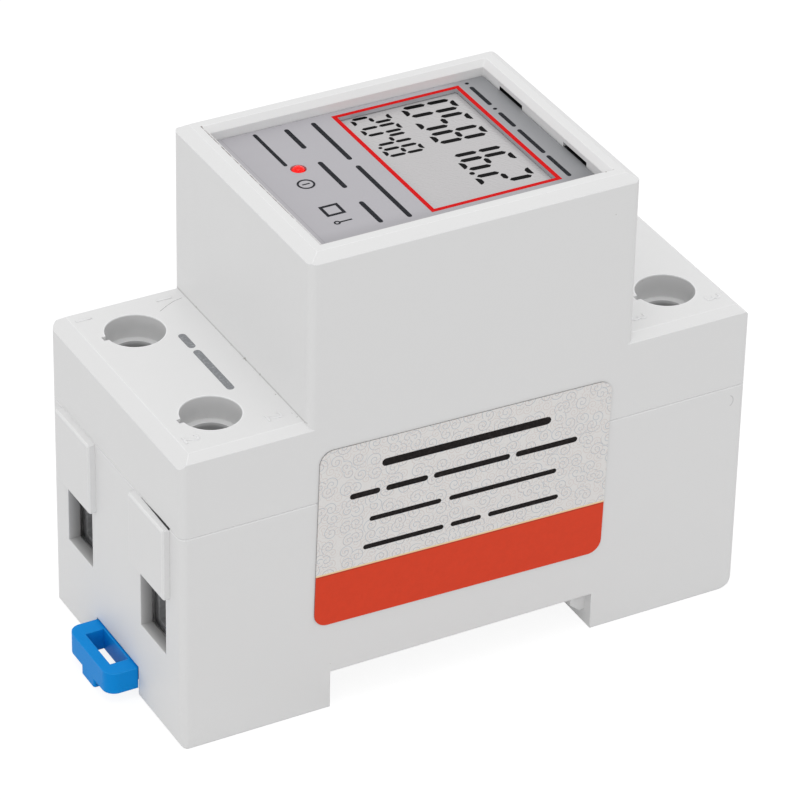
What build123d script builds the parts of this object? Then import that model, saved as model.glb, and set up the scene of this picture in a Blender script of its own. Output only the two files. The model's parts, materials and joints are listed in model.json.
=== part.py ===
"""Two-module energy meter for a 35 mm top-hat rail, built from its separate pieces.

Frame, in millimetres: the origin is the middle of the rail seat, the ceiling of the channel
in the underside. The rail runs along Y, +Z points out of the rail towards the display, and
+X points from the sliding rail clip towards the fixed hooks. The labelled side faces -Y.
"""

from build123d import *
import os

os.makedirs("parts", exist_ok=True)

# Rail and rail channel
rail_width = 35.0
rail_thickness = 1.0
rail_play = 1.75
rail_gap = 0.1
channel_depth = 5.2
hook_reach = 2.0
hook_width = 9.0
hook_thickness = 2.2

# Housing
housing_length = 77.8
housing_width = 36.0
housing_shift = 0.5
seam_height = 25.2
shoulder_height = 36.5
nose_height = 59.2
nose_length = 44.3
wall = 1.6
corner_radius = 1.0
clip_end_radius = 0.75
hook_end_radius = 2.3
foot_rim = 2.5
seam_chamfer = 0.12
shoulder_end_chamfer = 1.6
shoulder_side_chamfer = 1.1
shoulder_side_drop = 0.85
nose_end_chamfer = 1.5
nose_side_chamfer = 1.3
nose_chamfer_drop = 0.95

# Joint between base and cover
lip_thickness = 0.7
lip_height = 1.4
lip_gap = 0.12
parting_gap = 0.2
snap_spacing = 24.0
snap_width = 6.0
snap_thickness = 1.2
snap_length = 4.6
snap_root = 3.0
snap_gap = 0.15
barb_reach = 0.5
barb_height = 2.0
barb_peak = 1.4

# Terminal chambers
terminal_inset = 7.75
terminal_side_inset = 7.75
well_diameter = 7.5
well_depth = 3.2
well_floor = 1.3
driver_hole = 5.8
sleeve_wall = 1.2
sleeve_overlap = 0.5
notch_width = 0.9
notch_reach = 0.55
entry_width = 7.0
entry_height = 8.9
entry_floor = 6.3
pad_width = 9.4
pad_thickness = 1.0
pad_edge = 0.2
shelf_thickness = 1.6
partition_thickness = 1.25
guide_gap = 0.3
guide_rib = 1.2
guide_spacing = 6.0

# Terminal screws and cage clamps
screw_diameter = 5.0
head_diameter = 6.4
head_height = 2.6
head_gap = 0.2
head_edge = 0.3
slot_width = 1.1
slot_depth = 1.3
cross_length = 4.5
thread_gap = 0.06
tip_gap = 0.1
cage_wall = 1.2
cage_length = 10.4
cage_top = 2.5
cage_gap = 0.1
cage_corner = 1.0
tooth_depth = 0.3
tooth_width = 0.8
tooth_pitch = 2.4

# Conductors
bar_width = 6.6
bar_thickness = 1.5
bar_gap = 0.15
bar_end_gap = 0.8
bar_chamfer = 1.0
shunt_length = 12.0
shunt_notch_length = 6.0
shunt_notch_depth = 1.1
sense_pin_size = 1.2
sense_pin_gap = 0.05
sense_pin_inset = 2.0
sense_pin_rise = 1.0
neutral_pin_shift = 5.0

# Display opening and plate
window_length = 37.6
window_side_rim = 3.25
window_bevel = 0.75
window_edge = 1.17
window_corner = 0.2
ledge_width = 0.9
ledge_thickness = 1.5
plate_thickness = 0.5
plate_gap = 0.1
tab_width = 5.4
tab_spacing = 15.6
tab_reach = 0.7
tab_thickness = 0.5
tab_headroom = 0.55
view_x = 6.45
view_y = 0.95
view_length = 16.5
view_side_margin = 2.5
view_corner = 0.2

# Display glass, its carrier and pins
glass_thickness = 2.2
glass_gap = 0.1
glass_margin = 0.5
glass_shelf = 1.0
glass_pin_count = 12
glass_pin_inset = 1.75
glass_pin_size = 0.4
glass_pin_hole = 0.8

# Pulse lamp
led_x = -11.76
led_y = 4.2
led_diameter = 1.8
led_rise = 0.35
led_gap = 0.1
led_flange = 2.8
led_flange_height = 1.0
led_standoff = 1.0
led_leg_pitch = 1.27
led_leg_size = 0.4

# Circuit boards and the pins between them
board_thickness = 1.6
board_gap = 0.5
board_play = 0.1
main_board_height = 20.0
display_board_drop = 4.0
board_rib_width = 3.0
board_rib_root = 6.0
post_diameter = 4.0
stake_diameter = 1.9
stake_gap = 0.1
stake_rise = 0.6
lead_rise = 0.8
link_inset = 6.0
link_count = 5
link_pitch = 2.54
link_pin = 0.64
link_pin_gap = 0.05
link_hole = 1.1
strip_height = 2.5

# Parts on the main board, placed from the housing's middle and from the board's long edges
film_x = 10.5
film_length = 17.0
film_height = 13.5
film_near = 1.6
film_pin_room = 1.65
film_edge = 0.5
can_x = 14.6
can_near = 3.0
can_edge_room = 1.55
can_height = 16.0
can_crimp_height = 2.1
can_crimp = 0.5
varistor_x = -12.5
varistor_edge_room = 3.05
varistor_diameter = 10.0
varistor_thickness = 4.0
varistor_edge = 1.2
varistor_lift = 1.5
varistor_lead_pitch = 5.0
varistor_lead = 0.8
crystal_place = (-5.5, 4.4)
crystal_size = (9.0, 3.3, 3.5)
crystal_flange = 0.4
chip_edge_room = 4.55
metering_x = -3.2
metering_size = (10.0, 5.0, 1.7)
metering_legs = 8
metering_leg_pitch = 1.27
controller_place = (5.5, -2.4)
controller_size = (7.0, 5.0, 1.4)
controller_legs = 7
controller_leg_pitch = 0.9
opto_x = -10.7
opto_size = (4.6, 5.0, 2.2)
opto_legs = 2
opto_leg_pitch = 2.54
leg_width = 0.4
leg_thickness = 0.2
leg_reach = 1.2
leg_shoulder = 0.45
leg_foot = 0.5
chip_lift = 0.1

# Rail clip
clip_travel = 3.6
clip_bite = 2.1
clip_top = -0.8
clip_gap = 0.25
tongue_width = 11.3
tongue_thickness = 1.8
handle_width = 11.6
handle_length = 4.1
handle_height = 2.95
handle_radius = 1.6
handle_edge = 0.3
eye_length = 2.5
eye_width = 7.1
eye_bar = 1.4
guide_lip = 1.0
guide_thickness = 2.7
core_step = 1.0
arm_place = 14.4
arm_thickness = 0.75
arm_slot = 0.9
arm_length = 9.0
bump_height = 0.55
bump_length = 1.6
pull_rib_width = 3.6
pull_rib_length = 1.4
pull_rib_gap = 0.2

# Side label
label_length = 40.0
label_height = 25.0
label_thickness = 0.15
label_corner = 1.8
label_x = -0.45
label_z = 19.3
label_tilt = -1.4

# Heights and places worked out from the sizes above
mid = housing_shift
half_length = housing_length / 2
half_width = housing_width / 2
nose_half = nose_length / 2
bay_half = nose_half - wall
inner_x = half_length - wall
inner_y = half_width - wall
foot_z = -channel_depth
channel_half = (rail_width + rail_play) / 2
terminal_x = half_length - terminal_inset
terminal_y = half_width - terminal_side_inset
bar_bottom = entry_floor + entry_height
bar_top = bar_bottom + bar_thickness
cage_outer = entry_width + 2 * cage_gap + 2 * cage_wall
shelf_top = entry_floor - cage_wall - 2 * cage_gap
shelf_bottom = shelf_top - shelf_thickness
partition_y = terminal_y - cage_outer / 2 - guide_gap
well_bottom = shoulder_height - well_depth
sleeve_top = well_bottom - well_floor
head_top = sleeve_top - head_gap
head_bottom = head_top - head_height
sleeve_bottom = head_bottom - sleeve_overlap
hook_foot = seam_height - snap_length
root_z = seam_height + lip_height + 2 * lip_gap
window_width = housing_width - 2 * window_side_rim
view_width = window_width - 2 * view_side_margin
window_z = nose_height - window_bevel - window_edge
plate_bottom = window_z - plate_thickness
ledge_bottom = plate_bottom - ledge_thickness
ledge_x = window_length / 2 - ledge_width
ledge_y = window_width / 2 - ledge_width
glass_top = plate_bottom - glass_gap
glass_bottom = glass_top - glass_thickness
glass_x = view_length / 2 + glass_margin + glass_shelf
glass_y = view_width / 2 + glass_margin
glass_pin_x = glass_x - glass_shelf / 2
glass_pin_pitch = 2 * (glass_y - glass_pin_inset) / (glass_pin_count - 1)
display_board_top = ledge_bottom - display_board_drop
display_board_bottom = display_board_top - board_thickness
lead_foot = display_board_bottom - lead_rise
main_board_top = main_board_height + board_thickness
board_half_x = bay_half - board_gap
board_half_y = inner_y - snap_gap - snap_thickness - board_gap
display_half_y = inner_y - board_gap
film_width = terminal_y - film_pin_room - film_near
can_diameter = board_half_y - can_edge_room - can_near
chip_y = chip_edge_room - board_half_y
rib_inner_y = terminal_y + bar_width / 2 + bar_gap
link_x = mid - bay_half + link_inset
line_pin_x = (mid - shunt_length / 2 - sense_pin_inset, mid + shunt_length / 2 + sense_pin_inset)
neutral_pin_x = mid + neutral_pin_shift
wall_x = mid - half_length
handle_x = wall_x - handle_length
tip_x = rail_play / 2 + clip_bite - channel_half
clip_bottom = clip_top - tongue_thickness
handle_bottom = clip_top - handle_height
groove_half = tongue_width / 2 + clip_gap
notch_half = handle_width / 2 + clip_gap / 2
mouth_half = groove_half - guide_lip
bump_x = wall_x + arm_place

# Signs and names of the two ends and the two sides
ENDS = {-1: "left", 1: "right"}
SIDES = {-1: "front", 1: "back"}


def block(x, y, z, mode=Mode.ADD):
    """Rectangular block between pairs of coordinates."""
    with BuildSketch(Plane.XY.offset(z[0])) as outline:
        with Locations(((x[0] + x[1]) / 2, (y[0] + y[1]) / 2)):
            Rectangle(abs(x[1] - x[0]), abs(y[1] - y[0]))
    extrude(outline.sketch, amount=z[1] - z[0], mode=mode)


def rounded_block(x, y, z, radius, mode=Mode.ADD):
    """Block with its four upright edges rounded."""
    with BuildSketch(Plane.XY.offset(z[0])) as outline:
        with Locations(((x[0] + x[1]) / 2, (y[0] + y[1]) / 2)):
            RectangleRounded(abs(x[1] - x[0]), abs(y[1] - y[0]), radius)
    extrude(outline.sketch, amount=z[1] - z[0], mode=mode)


def rods(places, z, diameter, mode=Mode.ADD):
    """Upright cylinders at (x, y) places, between two heights."""
    with BuildSketch(Plane.XY.offset(z[0])) as outline:
        with Locations(*places):
            Circle(diameter / 2)
    extrude(outline.sketch, amount=z[1] - z[0], mode=mode)


def square_rods(places, z, size, mode=Mode.ADD):
    """Upright square pins at (x, y) places, between two heights."""
    with BuildSketch(Plane.XY.offset(z[0])) as outline:
        with Locations(*places):
            Rectangle(size, size)
    extrude(outline.sketch, amount=z[1] - z[0], mode=mode)


def side_profile(points, y, mode=Mode.ADD):
    """Outline of (x, z) points, extruded between two y values."""
    with BuildSketch(Plane.XZ.offset(-max(y))) as outline:
        with BuildLine():
            Polyline(*points, close=True)
        make_face()
    extrude(outline.sketch, amount=max(y) - min(y), dir=(0, -1, 0), mode=mode)


def end_profile(points, x, mode=Mode.ADD):
    """Outline of (y, z) points, extruded between two x values."""
    with BuildSketch(Plane.YZ.offset(min(x))) as outline:
        with BuildLine():
            Polyline(*points, close=True)
        make_face()
    extrude(outline.sketch, amount=max(x) - min(x), dir=(1, 0, 0), mode=mode)


def turned(x, y, points):
    """Solid of revolution about the upright line at (x, y), from (radius, z) points."""
    with BuildSketch(Plane.XZ.offset(-y)) as half_section:
        with BuildLine():
            Polyline(*[(x + radius, z) for radius, z in points], close=True)
        make_face()
    revolve(half_section.sketch, axis=Axis((x, y, 0), (0, 0, 1)))


def around(centre, width):
    """A pair of coordinates at equal distances from a centre."""
    return (centre - width / 2, centre + width / 2)


def from_mid(end, near, far):
    """X range between two distances from the housing's middle, at one end."""
    return (mid + end * near, mid + end * far)


def mirrored(side, near, far):
    """Y range between two distances from the centre plane, on one side."""
    return (side * near, side * far)


def glass_pin_places():
    """Centres of the two rows of display pins."""
    rows = GridLocations(2 * glass_pin_x, glass_pin_pitch, 2, glass_pin_count)
    return [(view_x + place.position.X, view_y + place.position.Y) for place in rows]


def link_places():
    """Centres of the pins between the two boards."""
    row = GridLocations(link_pitch, link_pitch, 1, link_count)
    return [(link_x, place.position.Y) for place in row]


def led_leg_places():
    """Centres of the two legs of the pulse lamp."""
    return [(led_x, led_y - led_leg_pitch / 2), (led_x, led_y + led_leg_pitch / 2)]


def display_post_places():
    """Centres of the posts that carry the display board."""
    post_x = bay_half - post_diameter / 2
    post_y = inner_y - post_diameter / 2
    return [(mid + end * post_x, side * post_y) for end in ENDS for side in SIDES]


def main_post_places():
    """Centres of the posts that carry the main board's middle."""
    return [(mid + end * bay_half / 2, 0) for end in ENDS]


def well_places():
    """Centres of the four terminal screws."""
    return [(mid + end * terminal_x, side * terminal_y) for end in ENDS for side in SIDES]


def chamfered_body(half_x, z, end_cut, end_drop, side_cut, side_drop):
    """Upright block whose top edges have one chamfer at the ends and another at the sides."""
    side_profile(
        [
            (mid - half_x, z[0]),
            (mid - half_x, z[1] - end_drop),
            (mid - half_x + end_cut, z[1]),
            (mid + half_x - end_cut, z[1]),
            (mid + half_x, z[1] - end_drop),
            (mid + half_x, z[0]),
        ],
        (-half_width, half_width),
    )
    end_profile(
        [
            (-half_width, z[0]),
            (-half_width, z[1] - side_drop),
            (-half_width + side_cut, z[1]),
            (half_width - side_cut, z[1]),
            (half_width, z[1] - side_drop),
            (half_width, z[0]),
        ],
        (mid - half_x, mid + half_x),
        mode=Mode.INTERSECT,
    )


def snap_hook(side, hook_x):
    """Springy hook of the cover, with its barb turned towards the side wall."""
    outer = inner_y - snap_gap
    inner = outer - snap_thickness
    root_y = inner_y + wall / 4
    end_profile(
        [
            (side * inner, hook_foot),
            (side * inner, root_z + snap_root),
            (side * root_y, root_z + snap_root),
            (side * root_y, root_z),
            (side * outer, root_z),
            (side * outer, hook_foot + barb_height),
            (side * (inner_y + barb_reach), hook_foot + barb_peak),
            (side * outer, hook_foot),
        ],
        around(hook_x, snap_width),
    )


def snap_pocket(side, hook_x):
    """Pocket inside the base's side wall that the barb springs into."""
    deep = inner_y + barb_reach + snap_gap
    end_profile(
        [
            (side * (inner_y - snap_gap), hook_foot - snap_gap),
            (side * (inner_y - snap_gap), hook_foot + barb_height + snap_gap),
            (side * (inner_y + snap_gap), hook_foot + barb_height + snap_gap),
            (side * deep, hook_foot + barb_peak + snap_gap),
            (side * deep, hook_foot + barb_peak - snap_gap),
            (side * inner_y, hook_foot - snap_gap),
        ],
        around(hook_x, snap_width + 2 * snap_gap),
        mode=Mode.SUBTRACT,
    )


# Outer forms of the cover, before it is hollowed
with BuildPart() as nose_form:
    chamfered_body(nose_half, (seam_height, nose_height), nose_end_chamfer, nose_chamfer_drop,
                   nose_side_chamfer, nose_chamfer_drop)
    fillet(nose_form.edges().filter_by(Axis.Z), corner_radius)

with BuildPart() as shoulder_form:
    chamfered_body(half_length, (seam_height, shoulder_height), shoulder_end_chamfer,
                   shoulder_end_chamfer, shoulder_side_chamfer, shoulder_side_drop)
    fillet(shoulder_form.edges().filter_by(Axis.Z), corner_radius)

# Cover: shoulders over the terminals, display nose, screw wells and snap hooks
with BuildPart() as cover_housing:
    add(shoulder_form.part)
    add(nose_form.part)
    chamfer(cover_housing.faces().sort_by(Axis.Z)[0].outer_wire().edges(), seam_chamfer)

    # Rebate for the base's lip, then the electronics bay
    rebate = lip_thickness + lip_gap
    rounded_block(around(mid, 2 * (inner_x + rebate)), around(0, 2 * (inner_y + rebate)),
                  (seam_height, seam_height + lip_height + lip_gap), corner_radius / 2, Mode.SUBTRACT)
    block(around(mid, 2 * bay_half), around(0, 2 * inner_y), (seam_height, ledge_bottom), Mode.SUBTRACT)

    # Terminal chambers with their bulkheads and partitions
    for end in ENDS:
        block(from_mid(end, bay_half, inner_x), around(0, 2 * inner_y),
              (seam_height, shoulder_height - wall), Mode.SUBTRACT)
        block(from_mid(end, bay_half, nose_half), around(0, 2 * inner_y),
              (seam_height + parting_gap, shoulder_height))
        for side in SIDES:
            block(from_mid(end, nose_half, inner_x),
                  mirrored(side, partition_y - partition_thickness, partition_y),
                  (seam_height + parting_gap, shoulder_height - wall / 2))

    # Tabs that close the bulkhead slots above the conductors
    for end in ENDS:
        for side in SIDES:
            block(from_mid(end, bay_half + bar_gap, nose_half - bar_gap),
                  around(side * terminal_y, bar_width - 2 * bar_gap), (bar_top + bar_gap, seam_height + wall))

    # Display opening: bevelled rim, straight edge, plate seat and the clear hole below it
    with BuildSketch(Plane.XY.offset(nose_height)) as rim:
        with Locations((mid, 0)):
            RectangleRounded(window_length + 2 * window_bevel, window_width + 2 * window_bevel, window_corner)
    with BuildSketch(Plane.XY.offset(nose_height - window_bevel)) as rim_foot:
        with Locations((mid, 0)):
            RectangleRounded(window_length, window_width, window_corner)
    loft([rim_foot.sketch.faces()[0], rim.sketch.faces()[0]], mode=Mode.SUBTRACT)
    rounded_block(around(mid, window_length), around(0, window_width),
                  (plate_bottom, nose_height - window_bevel), window_corner, Mode.SUBTRACT)
    block(around(mid, 2 * ledge_x), around(0, 2 * ledge_y), (ledge_bottom, plate_bottom), Mode.SUBTRACT)
    for side in SIDES:
        block(from_mid(1, window_length / 2 - plate_gap, window_length / 2 + tab_reach + plate_gap),
              around(side * tab_spacing / 2, tab_width + 2 * plate_gap),
              (window_z - tab_thickness - plate_gap, window_z + tab_headroom), Mode.SUBTRACT)

    # Posts that the display board is staked to
    rods(display_post_places(), (display_board_top, ledge_bottom + ledge_thickness / 2), post_diameter)
    rods(display_post_places(), (display_board_bottom - stake_rise, display_board_top), stake_diameter)

    # Screw wells: a floor that the driver passes through, and a sleeve round the head below it
    rods(well_places(), (sleeve_bottom, shoulder_height - wall / 2), well_diameter + 2 * sleeve_wall)
    rods(well_places(), (well_bottom, shoulder_height + wall), well_diameter, Mode.SUBTRACT)
    rods(well_places(), (sleeve_bottom, well_bottom), driver_hole, Mode.SUBTRACT)
    rods(well_places(), (sleeve_bottom, sleeve_top), head_diameter + 2 * head_gap, Mode.SUBTRACT)
    for well_x, well_y in well_places():
        block((well_x - well_diameter / 2 - notch_reach, well_x), around(well_y, notch_width),
              (well_bottom, shoulder_height + wall), Mode.SUBTRACT)

    # Ribs that hold the main board down, and snap hooks into the base
    for end in ENDS:
        rib_x = from_mid(end, bay_half - board_rib_width, bay_half)
        for side in SIDES:
            block(rib_x, mirrored(side, board_half_y - board_gap, inner_y + wall / 4),
                  (root_z, root_z + board_rib_root))
            block(rib_x, mirrored(side, board_half_y - board_gap, inner_y - snap_gap),
                  (main_board_top + board_play, root_z + board_rib_root))
            snap_hook(side, mid + end * snap_spacing / 2)
cover_housing.part.label = "cover_housing"
export_step(cover_housing.part, "parts/cover_housing.step")

# Base: feet with the rail channel, wire entries, terminal chambers and the clip's guide
with BuildPart() as base_housing:
    block(around(mid, housing_length), around(0, housing_width), (foot_z, seam_height))
    fillet(base_housing.edges().filter_by(Axis.Z), corner_radius)
    with BuildSketch(Plane.XZ.offset(-half_width)) as rounded_ends:
        with Locations((mid, (foot_z + seam_height) / 2)):
            Rectangle(housing_length, seam_height - foot_z)
        fillet(rounded_ends.vertices().group_by(Axis.Y)[0].sort_by(Axis.X)[0], clip_end_radius)
        fillet(rounded_ends.vertices().group_by(Axis.Y)[0].sort_by(Axis.X)[-1], hook_end_radius)
    extrude(amount=housing_width, mode=Mode.INTERSECT)
    chamfer(base_housing.faces().sort_by(Axis.Z)[-1].outer_wire().edges(), seam_chamfer)
    block(around(0, 2 * channel_half), around(0, housing_width), (foot_z, 0), Mode.SUBTRACT)

    # Pads above the wire entries
    for end in ENDS:
        for side in SIDES:
            block(from_mid(end, half_length - wall / 2, half_length + pad_thickness),
                  around(side * terminal_y, pad_width), (bar_bottom, seam_height - seam_chamfer))
        pad_faces = base_housing.faces().filter_by(Axis.X).group_by(Axis.X)[-1 if end > 0 else 0]
        chamfer(pad_faces.edges(), pad_edge)

    # Electronics bay, terminal chambers, wire entries and conductor slots
    block(around(mid, 2 * bay_half), around(0, 2 * inner_y), (wall, seam_height), Mode.SUBTRACT)
    for end in ENDS:
        block(from_mid(end, nose_half, inner_x), around(0, 2 * inner_y),
              (shelf_top, seam_height), Mode.SUBTRACT)
        for side in SIDES:
            block(from_mid(end, nose_half, inner_x),
                  mirrored(side, partition_y - partition_thickness, partition_y),
                  (shelf_top, seam_height))
            block(from_mid(end, inner_x, half_length + pad_thickness),
                  around(side * terminal_y, entry_width), (entry_floor, bar_bottom), Mode.SUBTRACT)
            block(from_mid(end, bay_half, nose_half),
                  around(side * terminal_y, bar_width + 2 * bar_gap),
                  (bar_bottom, seam_height), Mode.SUBTRACT)
            for along in (-1, 1):
                block(around(mid + end * terminal_x + along * guide_spacing / 2, guide_rib),
                      mirrored(side, terminal_y + cage_outer / 2 + guide_gap, inner_y),
                      (shelf_top, seam_height - parting_gap))

    # Lip that rises inside the cover
    with BuildSketch(Plane.XY.offset(seam_height - lip_height)) as lip:
        with Locations((mid, 0)):
            RectangleRounded(2 * (inner_x + lip_thickness), 2 * (inner_y + lip_thickness), corner_radius / 2)
            Rectangle(2 * inner_x, 2 * inner_y, mode=Mode.SUBTRACT)
    extrude(lip.sketch, amount=2 * lip_height)

    # Pockets for the snap hooks, ribs and posts for the main board
    for end in ENDS:
        for side in SIDES:
            snap_pocket(side, mid + end * snap_spacing / 2)
            block(from_mid(end, bay_half - board_rib_width, bay_half),
                  mirrored(side, rib_inner_y, inner_y), (wall, main_board_height))
    rods(main_post_places(), (wall, main_board_height), post_diameter)
    rods(main_post_places(), (main_board_height, main_board_top + stake_rise), stake_diameter)

    # Pockets under the feet, each crossed by one rib
    pocket_end = half_length - foot_rim
    pocket_middle = (nose_half + pocket_end) / 2
    for end in ENDS:
        pocket_y = mouth_half + guide_thickness if end < 0 else wall / 2
        for side in SIDES:
            for near, far in ((nose_half, pocket_middle - wall / 2), (pocket_middle + wall / 2, pocket_end)):
                block(from_mid(end, near, far), mirrored(side, pocket_y, inner_y),
                      (foot_z, shelf_bottom), Mode.SUBTRACT)

    # Guide for the rail clip: mouth, side grooves, notch, core above the tongue, arm pockets
    guide_x = (wall_x, -channel_half)
    guide_roof = clip_top + clip_gap
    block(guide_x, around(0, 2 * mouth_half), (foot_z, guide_roof), Mode.SUBTRACT)
    block(guide_x, around(0, 2 * groove_half), (clip_bottom - clip_gap, guide_roof), Mode.SUBTRACT)
    block((wall_x, wall_x + wall), around(0, 2 * notch_half), (foot_z, guide_roof), Mode.SUBTRACT)
    block((wall_x + wall, mid - nose_half), around(0, 2 * (mouth_half - core_step)),
          (foot_z, shelf_bottom), Mode.SUBTRACT)
    arm_pocket_x = (bump_x - clip_travel - bump_length / 2 - clip_gap, bump_x + bump_length / 2 + clip_gap)
    for side in SIDES:
        block(arm_pocket_x, mirrored(side, mouth_half, tongue_width / 2 + bump_height + clip_gap),
              (clip_bottom - clip_gap, guide_roof), Mode.SUBTRACT)

    # Fixed hooks that catch the other edge of the rail
    hook_top = -rail_thickness - rail_gap
    for side in SIDES:
        side_profile(
            [
                (channel_half + wall, hook_top),
                (channel_half - hook_reach, hook_top),
                (channel_half - hook_reach, hook_top - hook_thickness / 2),
                (channel_half - hook_reach / 3, hook_top - hook_thickness),
                (channel_half + wall, hook_top - hook_thickness),
            ],
            mirrored(side, inner_y - hook_width, inner_y),
        )
base_housing.part.label = "base_housing"
export_step(base_housing.part, "parts/base_housing.step")

# Display plate with the opening for the glass, the lamp hole and two tabs under the rim
with BuildPart() as face_plate:
    plate_x = window_length / 2 - plate_gap
    plate_y = window_width / 2 - plate_gap
    rounded_block(around(mid, 2 * plate_x), around(0, 2 * plate_y), (plate_bottom, window_z), window_corner)
    for side in SIDES:
        block(from_mid(1, plate_x - tab_reach, plate_x + tab_reach),
              around(side * tab_spacing / 2, tab_width), (window_z - tab_thickness, window_z))
    rounded_block(around(view_x, view_length), around(view_y, view_width), (plate_bottom, window_z),
                  view_corner, Mode.SUBTRACT)
    rods([(led_x, led_y)], (plate_bottom, window_z), led_diameter + 2 * led_gap, Mode.SUBTRACT)
face_plate.part.label = "face_plate"
export_step(face_plate.part, "parts/face_plate.step")

# Liquid crystal glass: a lower glass with contact shelves and a shorter upper glass
with BuildPart() as lcd_glass:
    block(around(view_x, 2 * glass_x), around(view_y, 2 * glass_y),
          (glass_bottom, glass_bottom + glass_thickness / 2))
    block(around(view_x, 2 * (glass_x - glass_shelf)), around(view_y, 2 * glass_y),
          (glass_bottom + glass_thickness / 2, glass_top))
lcd_glass.part.label = "lcd_glass"
export_step(lcd_glass.part, "parts/lcd_glass.step")

# Carrier that lifts the glass off the display board, hollow underneath
with BuildPart() as lcd_carrier:
    carrier_x = glass_x - glass_shelf
    block(around(view_x, 2 * carrier_x), around(view_y, 2 * glass_y), (display_board_top, glass_bottom))
    block(around(view_x, 2 * (carrier_x - wall)), around(view_y, 2 * (glass_y - wall)),
          (display_board_top, glass_bottom - wall), Mode.SUBTRACT)
lcd_carrier.part.label = "lcd_carrier"
export_step(lcd_carrier.part, "parts/lcd_carrier.step")

# Two rows of pins from the glass down through the display board
with BuildPart() as lcd_pins:
    square_rods(glass_pin_places(), (lead_foot, glass_bottom), glass_pin_size)
lcd_pins.part.label = "lcd_pins"
export_step(lcd_pins.part, "parts/lcd_pins.step")

# Pulse lamp: flange, straight lens with a domed top, and two legs
with BuildPart() as pulse_led:
    led_foot = display_board_top + led_standoff
    led_dome_z = window_z + led_rise - led_diameter / 2
    turned(led_x, led_y, [
        (0, led_foot),
        (led_flange / 2, led_foot),
        (led_flange / 2, led_foot + led_flange_height),
        (led_diameter / 2, led_foot + led_flange_height),
        (led_diameter / 2, led_dome_z),
        (0, led_dome_z),
    ])
    with Locations((led_x, led_y, led_dome_z)):
        Sphere(led_diameter / 2)
    square_rods(led_leg_places(), (lead_foot, led_foot + led_flange_height / 2), led_leg_size)
pulse_led.part.label = "pulse_led"
export_step(pulse_led.part, "parts/pulse_led.step")

# Link between the boards: square pins in two plastic strips
link_width = link_count * link_pitch
with BuildPart() as link_strips:
    for strip_z in ((main_board_top, main_board_top + strip_height),
                    (display_board_bottom - strip_height, display_board_bottom)):
        block(around(link_x, link_pitch), around(0, link_width), strip_z)
        square_rods(link_places(), strip_z, link_pin + 2 * link_pin_gap, Mode.SUBTRACT)
link_strips.part.label = "link_strips"
export_step(link_strips.part, "parts/link_strips.step")

with BuildPart() as link_pins:
    square_rods(link_places(), (main_board_height - lead_rise, display_board_top + lead_rise), link_pin)
link_pins.part.label = "link_pins"
export_step(link_pins.part, "parts/link_pins.step")

# Display board, staked to the cover's four posts
with BuildPart() as display_board:
    display_z = (display_board_bottom, display_board_top)
    block(around(mid, 2 * board_half_x), around(0, 2 * display_half_y), display_z)
    rods(display_post_places(), display_z, stake_diameter + 2 * stake_gap, Mode.SUBTRACT)
    square_rods(glass_pin_places() + led_leg_places(), display_z, glass_pin_hole, Mode.SUBTRACT)
    square_rods(link_places(), display_z, link_hole, Mode.SUBTRACT)
display_board.part.label = "display_board"
export_step(display_board.part, "parts/display_board.step")

# Sense pins that stand on the conductors and feed the main board
sense_pin_places = [(line_pin_x[0], terminal_y), (line_pin_x[1], terminal_y), (neutral_pin_x, -terminal_y)]
with BuildPart() as sense_pins:
    square_rods(sense_pin_places, (bar_top, main_board_top + sense_pin_rise), sense_pin_size)
sense_pins.part.label = "sense_pins"
export_step(sense_pins.part, "parts/sense_pins.step")

# Main board on the base's ribs and posts
with BuildPart() as main_board:
    main_z = (main_board_height, main_board_top)
    block(around(mid, 2 * board_half_x), around(0, 2 * board_half_y), main_z)
    rods(main_post_places(), main_z, stake_diameter + 2 * stake_gap, Mode.SUBTRACT)
    square_rods(sense_pin_places, main_z, sense_pin_size + 2 * sense_pin_gap, Mode.SUBTRACT)
    square_rods(link_places(), main_z, link_hole, Mode.SUBTRACT)
main_board.part.label = "main_board"
export_step(main_board.part, "parts/main_board.step")

# Boxed film capacitor
with BuildPart() as film_capacitor:
    block(around(mid + film_x, film_length), (film_near, film_near + film_width),
          (main_board_top, main_board_top + film_height))
    fillet(film_capacitor.edges().filter_by(Axis.Z), film_edge)
    chamfer(film_capacitor.faces().sort_by(Axis.Z)[-1].edges(), film_edge)
film_capacitor.part.label = "film_capacitor"
export_step(film_capacitor.part, "parts/film_capacitor.step")

# Electrolytic capacitor with its crimped can
with BuildPart() as electrolytic_capacitor:
    can_radius = can_diameter / 2
    crimp_z = main_board_top + can_crimp_height
    turned(mid + can_x, -can_near - can_radius, [
        (0, main_board_top),
        (can_radius, main_board_top),
        (can_radius, crimp_z - can_crimp),
        (can_radius - can_crimp, crimp_z),
        (can_radius, crimp_z + can_crimp),
        (can_radius, main_board_top + can_height),
        (0, main_board_top + can_height),
    ])
electrolytic_capacitor.part.label = "electrolytic_capacitor"
export_step(electrolytic_capacitor.part, "parts/electrolytic_capacitor.step")

# Disc varistor across the supply, on two leads
with BuildPart() as varistor:
    varistor_y = board_half_y - varistor_edge_room
    disc_z = main_board_top + varistor_lift + varistor_diameter / 2
    with BuildSketch(Plane.XZ.offset(-varistor_y - varistor_thickness / 2)):
        with Locations((mid + varistor_x, disc_z)):
            Circle(varistor_diameter / 2)
    extrude(amount=varistor_thickness)
    chamfer(varistor.edges().filter_by(GeomType.CIRCLE), varistor_edge)
    lead_places = [(x, varistor_y) for x in around(mid + varistor_x, varistor_lead_pitch)]
    square_rods(lead_places, (main_board_top, disc_z - varistor_diameter / 4), varistor_lead)
varistor.part.label = "varistor"
export_step(varistor.part, "parts/varistor.step")


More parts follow.
